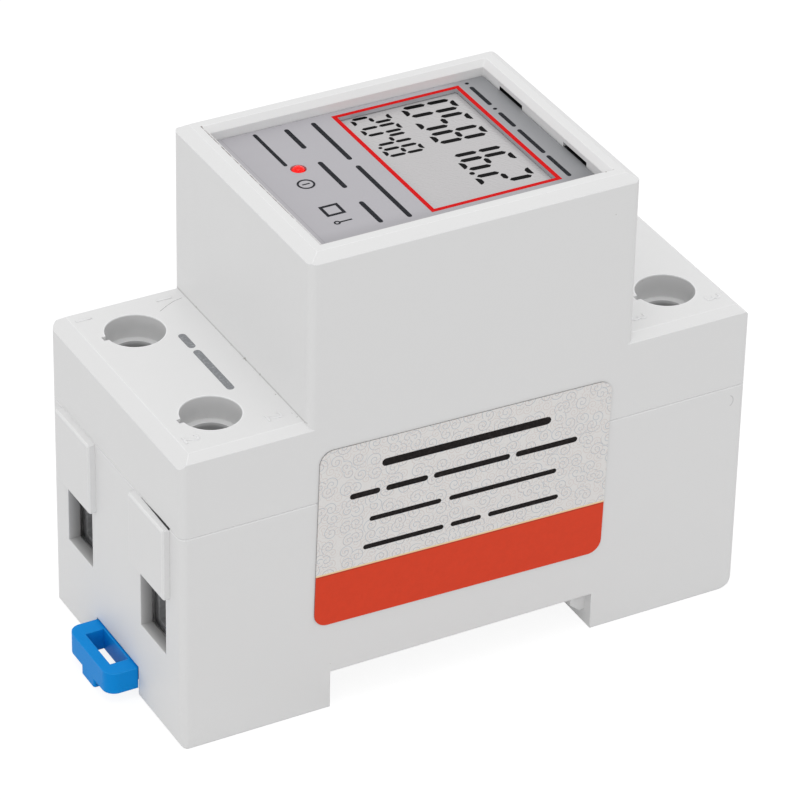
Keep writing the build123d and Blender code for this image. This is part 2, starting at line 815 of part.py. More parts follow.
def chip(place, size, leg_count, leg_pitch):
    """Plastic package on gull-wing legs along its two long sides."""
    x = mid + place[0]
    y = place[1]
    seat = main_board_top
    knee = seat + size[2] / 2
    block(around(x, size[0]), around(y, size[1]), (seat + chip_lift, seat + size[2]))
    leg_x = [x + (index - (leg_count - 1) / 2) * leg_pitch - leg_width / 2 for index in range(leg_count)]
    for side in (-1, 1):
        edge = size[1] / 2
        with BuildSketch(*[Plane.YZ.offset(value) for value in leg_x]) as legs:
            with BuildLine():
                Polyline(
                    (y + side * (edge - leg_thickness), knee + leg_thickness / 2),
                    (y + side * (edge + leg_shoulder), knee + leg_thickness / 2),
                    (y + side * (edge + leg_reach - leg_foot), seat + leg_thickness),
                    (y + side * (edge + leg_reach), seat + leg_thickness),
                    (y + side * (edge + leg_reach), seat),
                    (y + side * (edge + leg_reach - leg_foot - leg_thickness), seat),
                    (y + side * (edge + leg_shoulder - leg_thickness), knee - leg_thickness / 2),
                    (y + side * (edge - leg_thickness), knee - leg_thickness / 2),
                    close=True,
                )
            make_face()
        extrude(legs.sketch, amount=leg_width, dir=(1, 0, 0))


with BuildPart() as metering_chip:
    chip((metering_x, chip_y), metering_size, metering_legs, metering_leg_pitch)
metering_chip.part.label = "metering_chip"
export_step(metering_chip.part, "parts/metering_chip.step")

with BuildPart() as controller_chip:
    chip(controller_place, controller_size, controller_legs, controller_leg_pitch)
controller_chip.part.label = "controller_chip"
export_step(controller_chip.part, "parts/controller_chip.step")

with BuildPart() as optocoupler:
    chip((opto_x, chip_y), opto_size, opto_legs, opto_leg_pitch)
optocoupler.part.label = "optocoupler"
export_step(optocoupler.part, "parts/optocoupler.step")

# Crystal in its flanged metal can
with BuildPart() as crystal:
    with BuildSketch(Plane.XY.offset(main_board_top)):
        with Locations((mid + crystal_place[0], crystal_place[1])):
            SlotOverall(crystal_size[0] + crystal_flange, crystal_size[1] + crystal_flange)
    extrude(amount=crystal_flange)
    with BuildSketch(Plane.XY.offset(main_board_top)):
        with Locations((mid + crystal_place[0], crystal_place[1])):
            SlotOverall(crystal_size[0], crystal_size[1])
    extrude(amount=crystal_size[2])
crystal.part.label = "crystal"
export_step(crystal.part, "parts/crystal.step")

# Conductors: two line bars joined by the shunt, and one neutral bar
bar_half = inner_x - bar_end_gap
shunt_half = shunt_length / 2
bar_z = (bar_bottom, bar_top)
with BuildPart() as line_bar_in:
    block((mid - bar_half, mid - shunt_half), around(terminal_y, bar_width), bar_z)
    chamfer(line_bar_in.edges().filter_by(Axis.Z).group_by(Axis.X)[0], bar_chamfer)
line_bar_in.part.label = "line_bar_in"
export_step(line_bar_in.part, "parts/line_bar_in.step")

with BuildPart() as line_bar_out:
    block((mid + shunt_half, mid + bar_half), around(terminal_y, bar_width), bar_z)
    chamfer(line_bar_out.edges().filter_by(Axis.Z).group_by(Axis.X)[-1], bar_chamfer)
line_bar_out.part.label = "line_bar_out"
export_step(line_bar_out.part, "parts/line_bar_out.step")

with BuildPart() as shunt:
    block(around(mid, shunt_length), around(terminal_y, bar_width), bar_z)
    block(around(mid, shunt_notch_length),
          (terminal_y - bar_width / 2, terminal_y - bar_width / 2 + shunt_notch_depth), bar_z, Mode.SUBTRACT)
shunt.part.label = "shunt"
export_step(shunt.part, "parts/shunt.step")

with BuildPart() as neutral_bar:
    block(around(mid, 2 * bar_half), around(-terminal_y, bar_width), bar_z)
    chamfer(neutral_bar.edges().filter_by(Axis.Z), bar_chamfer)
neutral_bar.part.label = "neutral_bar"
export_step(neutral_bar.part, "parts/neutral_bar.step")


def terminal_screw(x, y):
    """Screw that turns on the conductor, its head held by the cover's sleeve."""
    foot = bar_top + tip_gap
    turned(x, y, [
        (0, foot),
        (screw_diameter / 2, foot),
        (screw_diameter / 2, head_bottom),
        (head_diameter / 2, head_bottom),
        (head_diameter / 2, head_top - head_edge),
        (head_diameter / 2 - head_edge, head_top),
        (0, head_top),
    ])
    slot_z = (head_top - slot_depth, head_top)
    block(around(x, head_diameter), around(y, slot_width), slot_z, Mode.SUBTRACT)
    block(around(x, slot_width), around(y, cross_length), slot_z, Mode.SUBTRACT)


def cage_clamp(x, y):
    """Folded steel frame round the conductor, with a threaded roof and a toothed floor."""
    inside = entry_width + 2 * cage_gap
    floor_top = entry_floor - cage_gap
    roof = bar_top + cage_gap
    cage_z = (floor_top - cage_wall, roof + cage_top)
    with BuildSketch(Plane.YZ.offset(x - cage_length / 2)) as frame:
        with Locations((y, (cage_z[0] + cage_z[1]) / 2)):
            RectangleRounded(cage_outer, cage_z[1] - cage_z[0], cage_corner)
        with Locations((y, (floor_top + roof) / 2)):
            Rectangle(inside, roof - floor_top, mode=Mode.SUBTRACT)
    extrude(frame.sketch, amount=cage_length)
    rods([(x, y)], (roof, roof + cage_top), screw_diameter + 2 * thread_gap, Mode.SUBTRACT)
    for step in (-1, 0, 1):
        block(around(x + step * tooth_pitch, tooth_width), around(y, inside),
              (floor_top - tooth_depth, floor_top), Mode.SUBTRACT)


# One screw and one cage at each of the four wire entries
for end in ENDS:
    for side in SIDES:
        place_name = ENDS[end] + "_" + SIDES[side]
        with BuildPart() as screw:
            terminal_screw(mid + end * terminal_x, side * terminal_y)
        screw.part.label = "terminal_screw_" + place_name
        export_step(screw.part, "parts/terminal_screw_" + place_name + ".step")

        with BuildPart() as cage:
            cage_clamp(mid + end * terminal_x, side * terminal_y)
        cage.part.label = "cage_clamp_" + place_name
        export_step(cage.part, "parts/cage_clamp_" + place_name + ".step")

# Rail clip: pull handle with an eye, tongue, wedge tip and two springy arms
with BuildPart() as rail_clip:
    bite_z = -rail_thickness - rail_gap
    side_profile(
        [
            (wall_x, clip_top),
            (-channel_half - clip_gap, clip_top),
            (-channel_half - clip_gap, bite_z),
            (tip_x, bite_z),
            (tip_x, clip_bottom + tongue_thickness / 2),
            (tip_x - tongue_thickness / 2, clip_bottom),
            (wall_x, clip_bottom),
        ],
        around(0, tongue_width),
    )
    with BuildSketch(Plane.XY.offset(handle_bottom)) as handle:
        with Locations((handle_x + handle_length, 0)):
            RectangleRounded(2 * handle_length, handle_width, handle_radius)
        with Locations((wall_x + handle_length, 0)):
            Rectangle(2 * handle_length, 2 * handle_width, mode=Mode.SUBTRACT)
    extrude(handle.sketch, amount=handle_height)
    block(around(handle_x + eye_bar + eye_length / 2, eye_length), around(0, eye_width),
          (handle_bottom, clip_top), Mode.SUBTRACT)
    rounded_block((handle_x, handle_x + pull_rib_length), around(0, pull_rib_width),
                  (foot_z + pull_rib_gap, handle_bottom), handle_edge)
    for side in SIDES:
        slot_y = tongue_width / 2 - arm_thickness - arm_slot
        arm_end = bump_x + bump_length
        clip_z = (clip_bottom, clip_top)
        block((arm_end - arm_length, arm_end), mirrored(side, slot_y, slot_y + arm_slot),
              clip_z, Mode.SUBTRACT)
        block((arm_end, arm_end + arm_slot), mirrored(side, slot_y, tongue_width / 2),
              clip_z, Mode.SUBTRACT)
        with BuildSketch(Plane.XY.offset(clip_bottom)) as bump:
            with BuildLine():
                Polyline(
                    (bump_x - bump_length / 2, side * tongue_width / 2),
                    (bump_x - bump_length / 4, side * (tongue_width / 2 + bump_height)),
                    (bump_x + bump_length / 4, side * (tongue_width / 2 + bump_height)),
                    (bump_x + bump_length / 2, side * tongue_width / 2),
                    (bump_x, side * (tongue_width - arm_thickness) / 2),
                    close=True,
                )
            make_face()
        extrude(bump.sketch, amount=tongue_thickness, dir=(0, 0, 1))
rail_clip.part.label = "rail_clip"
export_step(rail_clip.part, "parts/rail_clip.step")

# Side label, stuck on slightly askew across the seam
with BuildPart() as side_label:
    with BuildSketch(Plane.XZ.offset(half_width)) as sheet:
        with Locations(Location((label_x, label_z), label_tilt)):
            RectangleRounded(label_length, label_height, label_corner)
    extrude(sheet.sketch, amount=label_thickness)
side_label.part.label = "side_label"
export_step(side_label.part, "parts/side_label.step")
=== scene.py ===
"""Looks of the rail mounted energy meter: finishes, prints, raised marks, studio and camera.

Lengths are millimetres, and MM turns them into the metres of the frame.
+X points from the rail clip to the fixed hooks, +Y along the rail and +Z out to the display.
"""
import json
import math

import bmesh
import bpy
from mathutils import Euler, Matrix, Vector


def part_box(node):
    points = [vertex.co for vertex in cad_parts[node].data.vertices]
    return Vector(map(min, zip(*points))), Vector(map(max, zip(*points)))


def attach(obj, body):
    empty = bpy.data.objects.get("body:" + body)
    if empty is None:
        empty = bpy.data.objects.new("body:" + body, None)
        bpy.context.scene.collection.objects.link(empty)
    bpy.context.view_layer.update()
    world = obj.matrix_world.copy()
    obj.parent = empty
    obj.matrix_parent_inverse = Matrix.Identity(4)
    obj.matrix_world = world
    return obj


MM = 0.001

# Places on the meter that the frame gives no box for
MIDDLE = 0.5
SHOULDER_TOP = 36.5
NOSE_FOOT = MIDDLE - 22.15
END_FACE = MIDDLE - 38.9
SIDE_FACE = -18.0
FEET = -5.2

# The screw wells, from the middle of the housing, and the height of their floors
WELL_ALONG = 31.15
WELL_ACROSS = 10.25
WELL_RADIUS = 3.75
WELL_FLOOR = 33.3

# How much darker a well is near its mouth, at its floor and deep below the floor
MOUTH_SHADE = 0.17
FLOOR_SHADE = 0.1
DEEP_SHADE = 0.55

# The two tab slots under the rim of the display opening
SLOT_ALONG = 19.3
SLOT_ACROSS = 7.8
SLOT_HALF = 2.8
SLOT_REACH = 1.4
SLOT_HEIGHTS = (56.7, 57.83)

# The top of the front pad, which stands a little off the cover, and the reach and width of the painted shade
# in the gap above it
PAD_TOP = 25.08
PAD_GAP_ACROSS = (-14.95, -7.2)
PAD_GAP_WIDTH = 0.13

# The inner edges of the rim round the display, and where the plate comes into view past the rim
RIM_TOP = 59.2
RIM_LOW_X = -19.05
RIM_LOW_Y = -15.5
PLATE_LOW_X = -18.3
PLATE_SEEN_X = -17.38
PLATE_SEEN_Y = -12.56

# The wire entries: heights of floor and roof, half their width, depth of the wall, and how dark they get
ENTRY_FLOOR = 6.3
ENTRY_ROOF = 15.2
ENTRY_HALF = 3.5
ENTRY_DEPTH = 3.0
ENTRY_SHADE = 0.62

# The small arc that the mould left on the side, below the seam
MOULD_MARK = (36.75, 23.2)
MOULD_MARK_RADIUS = 0.85
MOULD_MARK_LINE = 0.12

# The view opening of the display plate: it reads along -Y, and its up is +X
VIEW_ALONG = (-13.2, 11.3)
VIEW_UP = (-1.8, 14.7)
FRAME_LINE = 0.57

# Thickness of printed ink
INK = 0.015

# Camera, worked out from the corners of the housing in the photograph; its turn is in degrees, and it
# sees what lies this many metres away
CAMERA_PLACE = (-239.446, -432.704, 339.329)
CAMERA_TURN = (57.44332, -1.09098, -28.30844)
CAMERA_LENS = 214.172
CAMERA_SENSOR = 36.0
CAMERA_REACH = (0.05, 20)

# The studio: strength of the world, and the place, width and power of each lamp, in metres and watts
WORLD_LIGHT = 0.805
LAMPS = {
    "top_lamp": ((-0.1, -0.15, 1.2), 0.7, 2.4),
    "front_lamp": ((-1.1, -0.8, 0.35), 0.9, 1.65),
}
LAMP_TARGET = (0, 0, 0.02)

# The floor: half its width, its gap under the feet, its paint as the meter and as the camera see it, its glow
FLOOR_HALF = 3000
FLOOR_GAP = 0.02
FLOOR_PAINT_LIT = 0.7
FLOOR_PAINT_SEEN = 0.2
FLOOR_GLOW = 0.88

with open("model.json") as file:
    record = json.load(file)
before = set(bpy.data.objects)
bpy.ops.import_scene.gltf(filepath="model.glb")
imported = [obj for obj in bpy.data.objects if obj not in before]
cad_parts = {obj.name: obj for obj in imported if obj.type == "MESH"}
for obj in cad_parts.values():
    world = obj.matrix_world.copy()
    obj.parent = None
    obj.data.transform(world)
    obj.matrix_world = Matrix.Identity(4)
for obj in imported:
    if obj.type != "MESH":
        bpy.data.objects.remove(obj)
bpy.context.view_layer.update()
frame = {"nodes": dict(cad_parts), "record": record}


def colour(red, green, blue):
    """A screen colour (sRGB, 0 to 255) as the linear colour that shaders use."""
    linear = [c / 255 / 12.92 if c < 11 else ((c / 255 + 0.055) / 1.055) ** 2.4 for c in (red, green, blue)]
    return (*linear, 1.0)


# Node trees

class Wiring:
    """Adds nodes to one tree and joins them."""

    def __init__(self, tree):
        self.tree = tree

    def add(self, kind, sockets=None, **settings):
        """A new node with these settings, its input sockets fed with values or with other sockets."""
        made = self.tree.nodes.new(kind)
        for name, value in settings.items():
            setattr(made, name, value)
        for name, value in (sockets or {}).items():
            self.feed(made.inputs[name], value)
        return made

    def feed(self, socket, value):
        """Links another node's socket to this one, or sets this one to a plain value."""
        if isinstance(value, bpy.types.NodeSocket):
            self.tree.links.new(value, socket)
        else:
            socket.default_value = value

    def math(self, operation, *values):
        """The result of one math node."""
        made = self.add("ShaderNodeMath", operation=operation)
        for index, value in enumerate(values):
            self.feed(made.inputs[index], value)
        return made.outputs[0]

    def product(self, first, *others):
        """All these values multiplied."""
        total = first
        for value in others:
            total = self.math("MULTIPLY", total, value)
        return total

    def apart(self, first, second):
        """How far two numbers are from each other."""
        return self.math("ABSOLUTE", self.math("SUBTRACT", first, second))

    def vector(self, operation, *values):
        """The result of one vector math node: a number where it measures, else a vector."""
        made = self.add("ShaderNodeVectorMath", operation=operation)
        for index, value in enumerate(values):
            self.feed(made.inputs[index], value)
        measured = operation in ("DOT_PRODUCT", "LENGTH")
        return made.outputs["Value" if measured else "Vector"]

    def ramp(self, value, low, high, start=0.0, end=1.0):
        """start where value is low, end where it is high, and smooth between."""
        sockets = {"Value": value, "From Min": low, "From Max": high, "To Min": start, "To Max": end}
        return self.add("ShaderNodeMapRange", sockets, interpolation_type="SMOOTHSTEP").outputs["Result"]

    def varied(self, noise, start, end):
        """From start to end over the range that most of a noise lies in."""
        return self.ramp(noise, 0.3, 0.7, start, end)

    def between(self, value, low, high, blur):
        """1 between low and high, 0 outside, with blurred limits."""
        rise = self.ramp(value, low - blur, low + blur)
        fall = self.ramp(value, high - blur, high + blur, start=1.0, end=0.0)
        return self.product(rise, fall)

    def mix(self, share, first, second, blend="MIX"):
        """A colour between two others."""
        made = self.add("ShaderNodeMix", data_type="RGBA", blend_type=blend)
        self.feed(made.inputs[0], share)
        self.feed(made.inputs[6], first)
        self.feed(made.inputs[7], second)
        return made.outputs[2]

    def shade(self, tint, value):
        """A colour made lighter or darker by a factor that varies over the surface."""
        grey = self.add("ShaderNodeCombineColor", {"Red": value, "Green": value, "Blue": value})
        return self.mix(1.0, tint, grey.outputs["Color"], blend="MULTIPLY")

    def noise(self, place, scale, detail=2.0, roughness=0.5):
        """A smooth random value of the place; a larger scale makes it finer."""
        sockets = {"Vector": place, "Scale": scale, "Detail": detail, "Roughness": roughness}
        return self.add("ShaderNodeTexNoise", sockets).outputs["Fac"]

    def millimetres(self):
        """The place on the object in millimetres of the frame."""
        made = self.add("ShaderNodeVectorMath", {"Scale": 1 / MM}, operation="SCALE")
        self.feed(made.inputs[0], self.add("ShaderNodeTexCoord").outputs["Object"])
        return made.outputs["Vector"]

    def split(self, vector):
        """The x, y and z of a vector."""
        parts = self.add("ShaderNodeSeparateXYZ", {"Vector": vector}).outputs
        return parts["X"], parts["Y"], parts["Z"]

    def joined(self, x, y, z):
        """A vector with this x, y and z."""
        return self.add("ShaderNodeCombineXYZ", {"X": x, "Y": y, "Z": z}).outputs["Vector"]

    def effect(self, group, **values):
        """Places a shared effect with its own values."""
        made = self.add("ShaderNodeGroup", node_tree=group)
        for name, value in values.items():
            self.feed(made.inputs[name.capitalize()], value)
        return made.outputs


def shared_effect(name, inputs, outputs):
    """An empty node group with these sockets, its wiring, its inputs and the node that takes its outputs."""
    group = bpy.data.node_groups.new(name, "ShaderNodeTree")
    for label, value in inputs.items():
        group.interface.new_socket(label, in_out="INPUT", socket_type="NodeSocketFloat").default_value = value
    for label, kind in outputs.items():
        group.interface.new_socket(label, in_out="OUTPUT", socket_type=kind)
    wiring = Wiring(group)
    given = wiring.add("NodeGroupInput").outputs
    result = wiring.add("NodeGroupOutput")
    return group, wiring, given, result


NUMBER = "NodeSocketFloat"
DIRECTION = "NodeSocketVector"

# Edge marks, where painted highlights go: how far the shading turns there as a dot product, how open the edge
# lies, and rays per sample
EDGE_TURN = (0.999, 0.93)
EDGE_OPENNESS = (0.72, 0.92)
EDGE_RAYS = 6


def make_soft_edge():
    """Rounds the shading at edges and marks those that stand out, for painted highlights."""
    outputs = {"Normal": DIRECTION, "Edge": NUMBER}
    group, w, given, result = shared_effect("Soft edge", {"Radius": 0.3}, outputs)
    radius = w.product(given["Radius"], MM)
    rounded = w.add("ShaderNodeBevel", {"Radius": radius}, samples=EDGE_RAYS).outputs["Normal"]
    flat = w.add("ShaderNodeNewGeometry").outputs["Normal"]
    turned = w.ramp(w.vector("DOT_PRODUCT", rounded, flat), *EDGE_TURN)
    reach = {"Distance": w.product(radius, 2.0)}
    openness = w.add("ShaderNodeAmbientOcclusion", reach, samples=EDGE_RAYS).outputs["AO"]
    w.feed(result.inputs["Normal"], rounded)
    w.feed(result.inputs["Edge"], w.product(turned, w.ramp(openness, *EDGE_OPENNESS)))
    return group


def make_moulded_skin():
    """Fine grain, slow changes of tone and faint flow lines of moulded plastic."""
    flow_share, grain_share = 0.45, 0.35
    inputs = {"Grain": 0.22, "Unevenness": 0.02}
    outputs = {"Height": NUMBER, "Tone": NUMBER, "Sheen": NUMBER}
    group, w, given, result = shared_effect("Moulded skin", inputs, outputs)
    place = w.millimetres()
    fineness = w.math("DIVIDE", 1.0, given["Grain"])
    grain = w.noise(place, fineness, detail=3.0, roughness=0.6)
    slow = w.noise(place, scale=0.06, detail=3.0, roughness=0.55)
    stretched = w.vector("MULTIPLY", place, (0.3, 1.6, 0.5))
    flow = w.noise(stretched, scale=0.35)
    both = w.math("MULTIPLY_ADD", flow, flow_share, w.product(slow, 1 - flow_share))
    swing = w.math("SUBTRACT", both, 0.5)
    mottle = w.product(w.math("SUBTRACT", grain, 0.5), grain_share)
    strength = w.product(given["Unevenness"], 2.0)
    tone = w.math("MULTIPLY_ADD", w.math("ADD", swing, mottle), strength, 1.0)
    w.feed(result.inputs["Height"], grain)
    w.feed(result.inputs["Tone"], tone)
    w.feed(result.inputs["Sheen"], w.math("MULTIPLY_ADD", slow, 0.5, w.product(grain, 0.5)))
    return group


def make_specks():
    """A few small specks, as a mask; each is half to one and a half times the size."""
    inputs = {"Spacing": 3.0, "Share": 0.2, "Size": 0.12}
    group, w, given, result = shared_effect("Specks", inputs, {"Mask": NUMBER})
    pitch = given["Spacing"]
    place = w.vector("DIVIDE", w.millimetres(), w.joined(pitch, pitch, pitch))
    cells = w.add("ShaderNodeTexVoronoi", {"Vector": place, "Scale": 1.0}).outputs
    away = w.product(cells["Distance"], pitch)
    draw = w.add("ShaderNodeSeparateColor", {"Color": cells["Color"]}).outputs
    reach = w.product(given["Size"], w.math("ADD", 0.5, draw["Green"]))
    inside = w.math("LESS_THAN", away, reach)
    chosen = w.math("LESS_THAN", draw["Red"], given["Share"])
    w.feed(result.inputs["Mask"], w.product(inside, chosen))
    return group


def make_drawn_metal():
    """Fine parallel marks of drawn or stamped metal, and duller clouds."""
    outputs = {"Height": NUMBER, "Tone": NUMBER, "Sheen": NUMBER}
    group, w, given, result = shared_effect("Drawn metal", {"Fineness": 6.0}, outputs)
    place = w.millimetres()
    drawn_out = w.vector("MULTIPLY", place, (0.12, 1.0, 1.0))
    lines = w.noise(drawn_out, given["Fineness"], detail=3.0, roughness=0.65)
    clouds = w.noise(place, scale=0.35, detail=3.0)
    w.feed(result.inputs["Height"], lines)
    w.feed(result.inputs["Tone"], w.ramp(clouds, 0.3, 0.75, start=0.82, end=1.08))
    w.feed(result.inputs["Sheen"], w.ramp(lines, 0.25, 0.8))
    return group


SOFT_EDGE = make_soft_edge()
MOULDED_SKIN = make_moulded_skin()
SPECKS = make_specks()
DRAWN_METAL = make_drawn_metal()


# Materials

def blank_material(name):
    """A material without nodes, and the wiring to fill it."""
    made = bpy.data.materials.new(name)
    made.use_nodes = True
    made.node_tree.nodes.clear()
    return made, Wiring(made.node_tree)


def new_material(name, gloss=0.5):
    """A material with a Principled shader, its wiring and that shader."""
    made, w = blank_material(name)
    shader = w.add("ShaderNodeBsdfPrincipled")
    shader.inputs["Specular IOR Level"].default_value = gloss
    surface = w.add("ShaderNodeOutputMaterial")
    w.feed(surface.inputs["Surface"], shader.outputs["BSDF"])
    return made, w, shader


def bumped(w, height, strength, distance, normal=None):
    """The shading normal of a fine relief; distance is in millimetres."""
    sockets = {"Height": height, "Strength": strength, "Distance": distance * MM}
    if normal is not None:
        sockets["Normal"] = normal
    return w.add("ShaderNodeBump", sockets).outputs["Normal"]


def moulded_plastic(name, tint, edge_highlight_tint, roughness, unevenness=0.02, grain=0.22, relief=0.012,
                    gloss=0.5, marks=None):
    """Moulded plastic with soft edges, lightened by a painted highlight; marks(w, place, body) adds marks and
    painted light to its colour.
    """
    made, w, shader = new_material(name, gloss)
    edge = w.effect(SOFT_EDGE, radius=0.2)
    skin = w.effect(MOULDED_SKIN, grain=grain, unevenness=unevenness)
    body = w.shade(tint, skin["Tone"])
    # Painted highlight: edges that stand out take the lighter highlight tint
    body = w.mix(edge["Edge"], body, edge_highlight_tint)
    if marks is not None:
        body = marks(w, w.millimetres(), body)
    w.feed(shader.inputs["Base Color"], body)
    w.feed(shader.inputs["Roughness"], w.varied(skin["Sheen"], roughness - 0.05, roughness + 0.07))
    fine_relief = bumped(w, skin["Height"], strength=0.5, distance=relief, normal=edge["Normal"])
    w.feed(shader.inputs["Normal"], fine_relief)
    return made


# Marks, painted shade and painted highlights of the housing: each is a mask over the place x, y, z in
# millimetres

def tab_slot_shade(w, x, y, z):
    """What lies inside the tab slots of the rim, where their shade is painted near black."""
    inside = w.between(x, SLOT_ALONG + 0.02, SLOT_ALONG + SLOT_REACH, blur=0.01)
    level = w.between(z, *SLOT_HEIGHTS, blur=0.01)
    off_slot = w.apart(w.math("ABSOLUTE", y), SLOT_ACROSS)
    return w.product(inside, w.math("LESS_THAN", off_slot, SLOT_HALF), level)


def from_middle(w, x):
    """How far a place is from the middle of the housing, to either end."""
    return w.apart(x, MIDDLE)


def from_well(w, x, y):
    """How far a place is from the axis of the nearest screw well."""
    along = w.math("SUBTRACT", from_middle(w, x), WELL_ALONG)
    across = w.math("SUBTRACT", w.math("ABSOLUTE", y), WELL_ACROSS)
    return w.vector("LENGTH", w.joined(along, across, 0.0))


def well_rim_highlight(w, x, y, z):
    """Painted highlight: the fine bright line round the mouth of each screw well."""
    line = w.between(from_well(w, x, y), WELL_RADIUS - 0.03, WELL_RADIUS + 0.13, blur=0.02)
    return w.product(line, w.between(z, SHOULDER_TOP - 0.12, SHOULDER_TOP + 0.1, blur=0.02))


def well_shade(w, x, y, z):
    """How dark it is in the screw wells: a little on their walls, most below their floors."""
    inside = w.ramp(from_well(w, x, y), WELL_RADIUS + 0.1, WELL_RADIUS + 0.02)
    mouth = w.ramp(z, SHOULDER_TOP - 0.04, SHOULDER_TOP - 0.3, end=MOUTH_SHADE)
    lower = w.ramp(z, SHOULDER_TOP - 1.0, WELL_FLOOR + 0.2, start=MOUTH_SHADE, end=FLOOR_SHADE)
    wall = w.math("MINIMUM", mouth, lower)
    below = w.ramp(z, WELL_FLOOR - 0.05, WELL_FLOOR - 0.7, end=DEEP_SHADE)
    return w.product(inside, w.math("MAXIMUM", wall, below))


def entry_shade(w, x, y, z):
    """How dark it is inside the wire entries: more with the depth from the end face."""
    end = MIDDLE - END_FACE
    depth = w.math("SUBTRACT", end, from_middle(w, x))
    shade = w.ramp(depth, -0.6, 1.8, end=ENTRY_SHADE)
    level = w.between(z, ENTRY_FLOOR - 0.02, ENTRY_ROOF + 0.02, blur=0.01)
    off_entry = w.apart(w.math("ABSOLUTE", y), WELL_ACROSS)
    across = w.math("LESS_THAN", off_entry, ENTRY_HALF + 0.02)
    along = w.between(from_middle(w, x), end - ENTRY_DEPTH, end - 0.01, blur=0.005)
    return w.product(shade, level, across, along)


def rim_dirt(w, x, y, z):
    """Broken dark lines along the inner edges of the rim that lie nearest to the camera."""
    left = w.between(x, RIM_LOW_X - 0.11, RIM_LOW_X + 0.1, blur=0.02)
    crumbs = w.noise(w.joined(0.0, y, 0.0), scale=0.8, detail=4.0, roughness=0.7)
    patches = w.ramp(crumbs, 0.36, 0.56, start=0.1, end=0.8)
    cleaner = w.ramp(y, -12.0, -5.0, start=0.3)
    left = w.product(left, patches, cleaner)
    front = w.product(w.between(y, RIM_LOW_Y - 0.07, RIM_LOW_Y + 0.1, blur=0.02), 0.3)
    top = w.math("GREATER_THAN", z, RIM_TOP - 0.06)
    along = w.math("LESS_THAN", from_middle(w, x), MIDDLE - RIM_LOW_X + 0.12)
    across = w.math("LESS_THAN", w.math("ABSOLUTE", y), abs(RIM_LOW_Y) + 0.08)
    return w.product(top, along, across, w.math("MAXIMUM", left, front))


def mould_mark(w, x, y, z):
    """The faint arc that the mould left on the side."""
    along = w.math("SUBTRACT", x, MOULD_MARK[0])
    up = w.math("SUBTRACT", z, MOULD_MARK[1])
    reach = w.vector("LENGTH", w.joined(along, up, 0.0))
    half = MOULD_MARK_LINE / 2
    line = w.between(reach, MOULD_MARK_RADIUS - half, MOULD_MARK_RADIUS + half, blur=0.03)
    right = w.math("GREATER_THAN", along, 0.4)
    return w.product(line, right, w.math("LESS_THAN", y, SIDE_FACE + 0.1))


def specks(w, x, y, z):
    """Dark specks in the plastic, all over."""
    return w.effect(SPECKS, spacing=3.8, share=0.24, size=0.09)["Mask"]


def foot_grime_and_shade(w, x, y, z):
    """The dark line in the corner at the foot of the nose: painted corner shade, and some grime."""
    near_top = w.between(z, SHOULDER_TOP - 0.1, SHOULDER_TOP + 0.1, blur=0.06)
    return w.product(near_top, w.between(x, NOSE_FOOT - 0.1, NOSE_FOOT + 0.1, blur=0.06))


def foot_crumbs(w, x, y, z):
    """Crumbs of dirt along the foot of the nose."""
    near_top = w.between(z, SHOULDER_TOP - 0.3, SHOULDER_TOP + 0.22, blur=0.1)
    near_foot = w.between(x, NOSE_FOOT - 0.5, NOSE_FOOT + 0.3, blur=0.12)
    crumbs = w.noise(w.joined(x, y, 0.0), scale=1.05, detail=3.0, roughness=0.7)
    return w.product(near_top, near_foot, w.ramp(crumbs, 0.6, 0.68))


def pad_gap_shade(w, x, y, z):
    """Painted shade in the gap above the front pad, wider toward the corner of the housing."""
    low, high = PAD_GAP_ACROSS
    width = w.ramp(y, high, low, start=0.02, end=PAD_GAP_WIDTH)
    narrow = w.math("LESS_THAN", w.apart(x, END_FACE), width)
    level = w.between(z, PAD_TOP - 0.05, PAD_TOP + 0.2, blur=0.04)
    return w.product(narrow, w.between(y, low, high, blur=0.05), level)


# Painted shade: the near black inside the tab slots
SLOT_SHADE_TINT = colour(14, 14, 16)

# The marks, painted shade and painted highlights of the housing in the order in which they cover each other:
# mask, strength, colour
HOUSING_MARKS_AND_LIGHT = (
    (entry_shade, 1.0, colour(74, 74, 76)),
    (rim_dirt, 1.0, colour(92, 72, 66)),
    (mould_mark, 0.4, colour(140, 140, 142)),
    (specks, 0.45, colour(120, 112, 100)),
    (foot_grime_and_shade, 0.3, colour(120, 118, 114)),
    (foot_crumbs, 0.55, colour(105, 100, 92)),
    (well_shade, 1.0, colour(70, 70, 72)),
    (well_rim_highlight, 0.8, colour(253, 253, 254)),
    (tab_slot_shade, 1.0, SLOT_SHADE_TINT),
    (pad_gap_shade, 1.0, colour(40, 40, 42)),
)


def housing_marks_and_light(w, place, body):
    """The colour of the housing with all its marks, painted shade and painted highlights."""
    x, y, z = w.split(place)
    for mark, strength, tint in HOUSING_MARKS_AND_LIGHT:
        body = w.mix(w.product(mark(w, x, y, z), strength), body, tint)
    return body


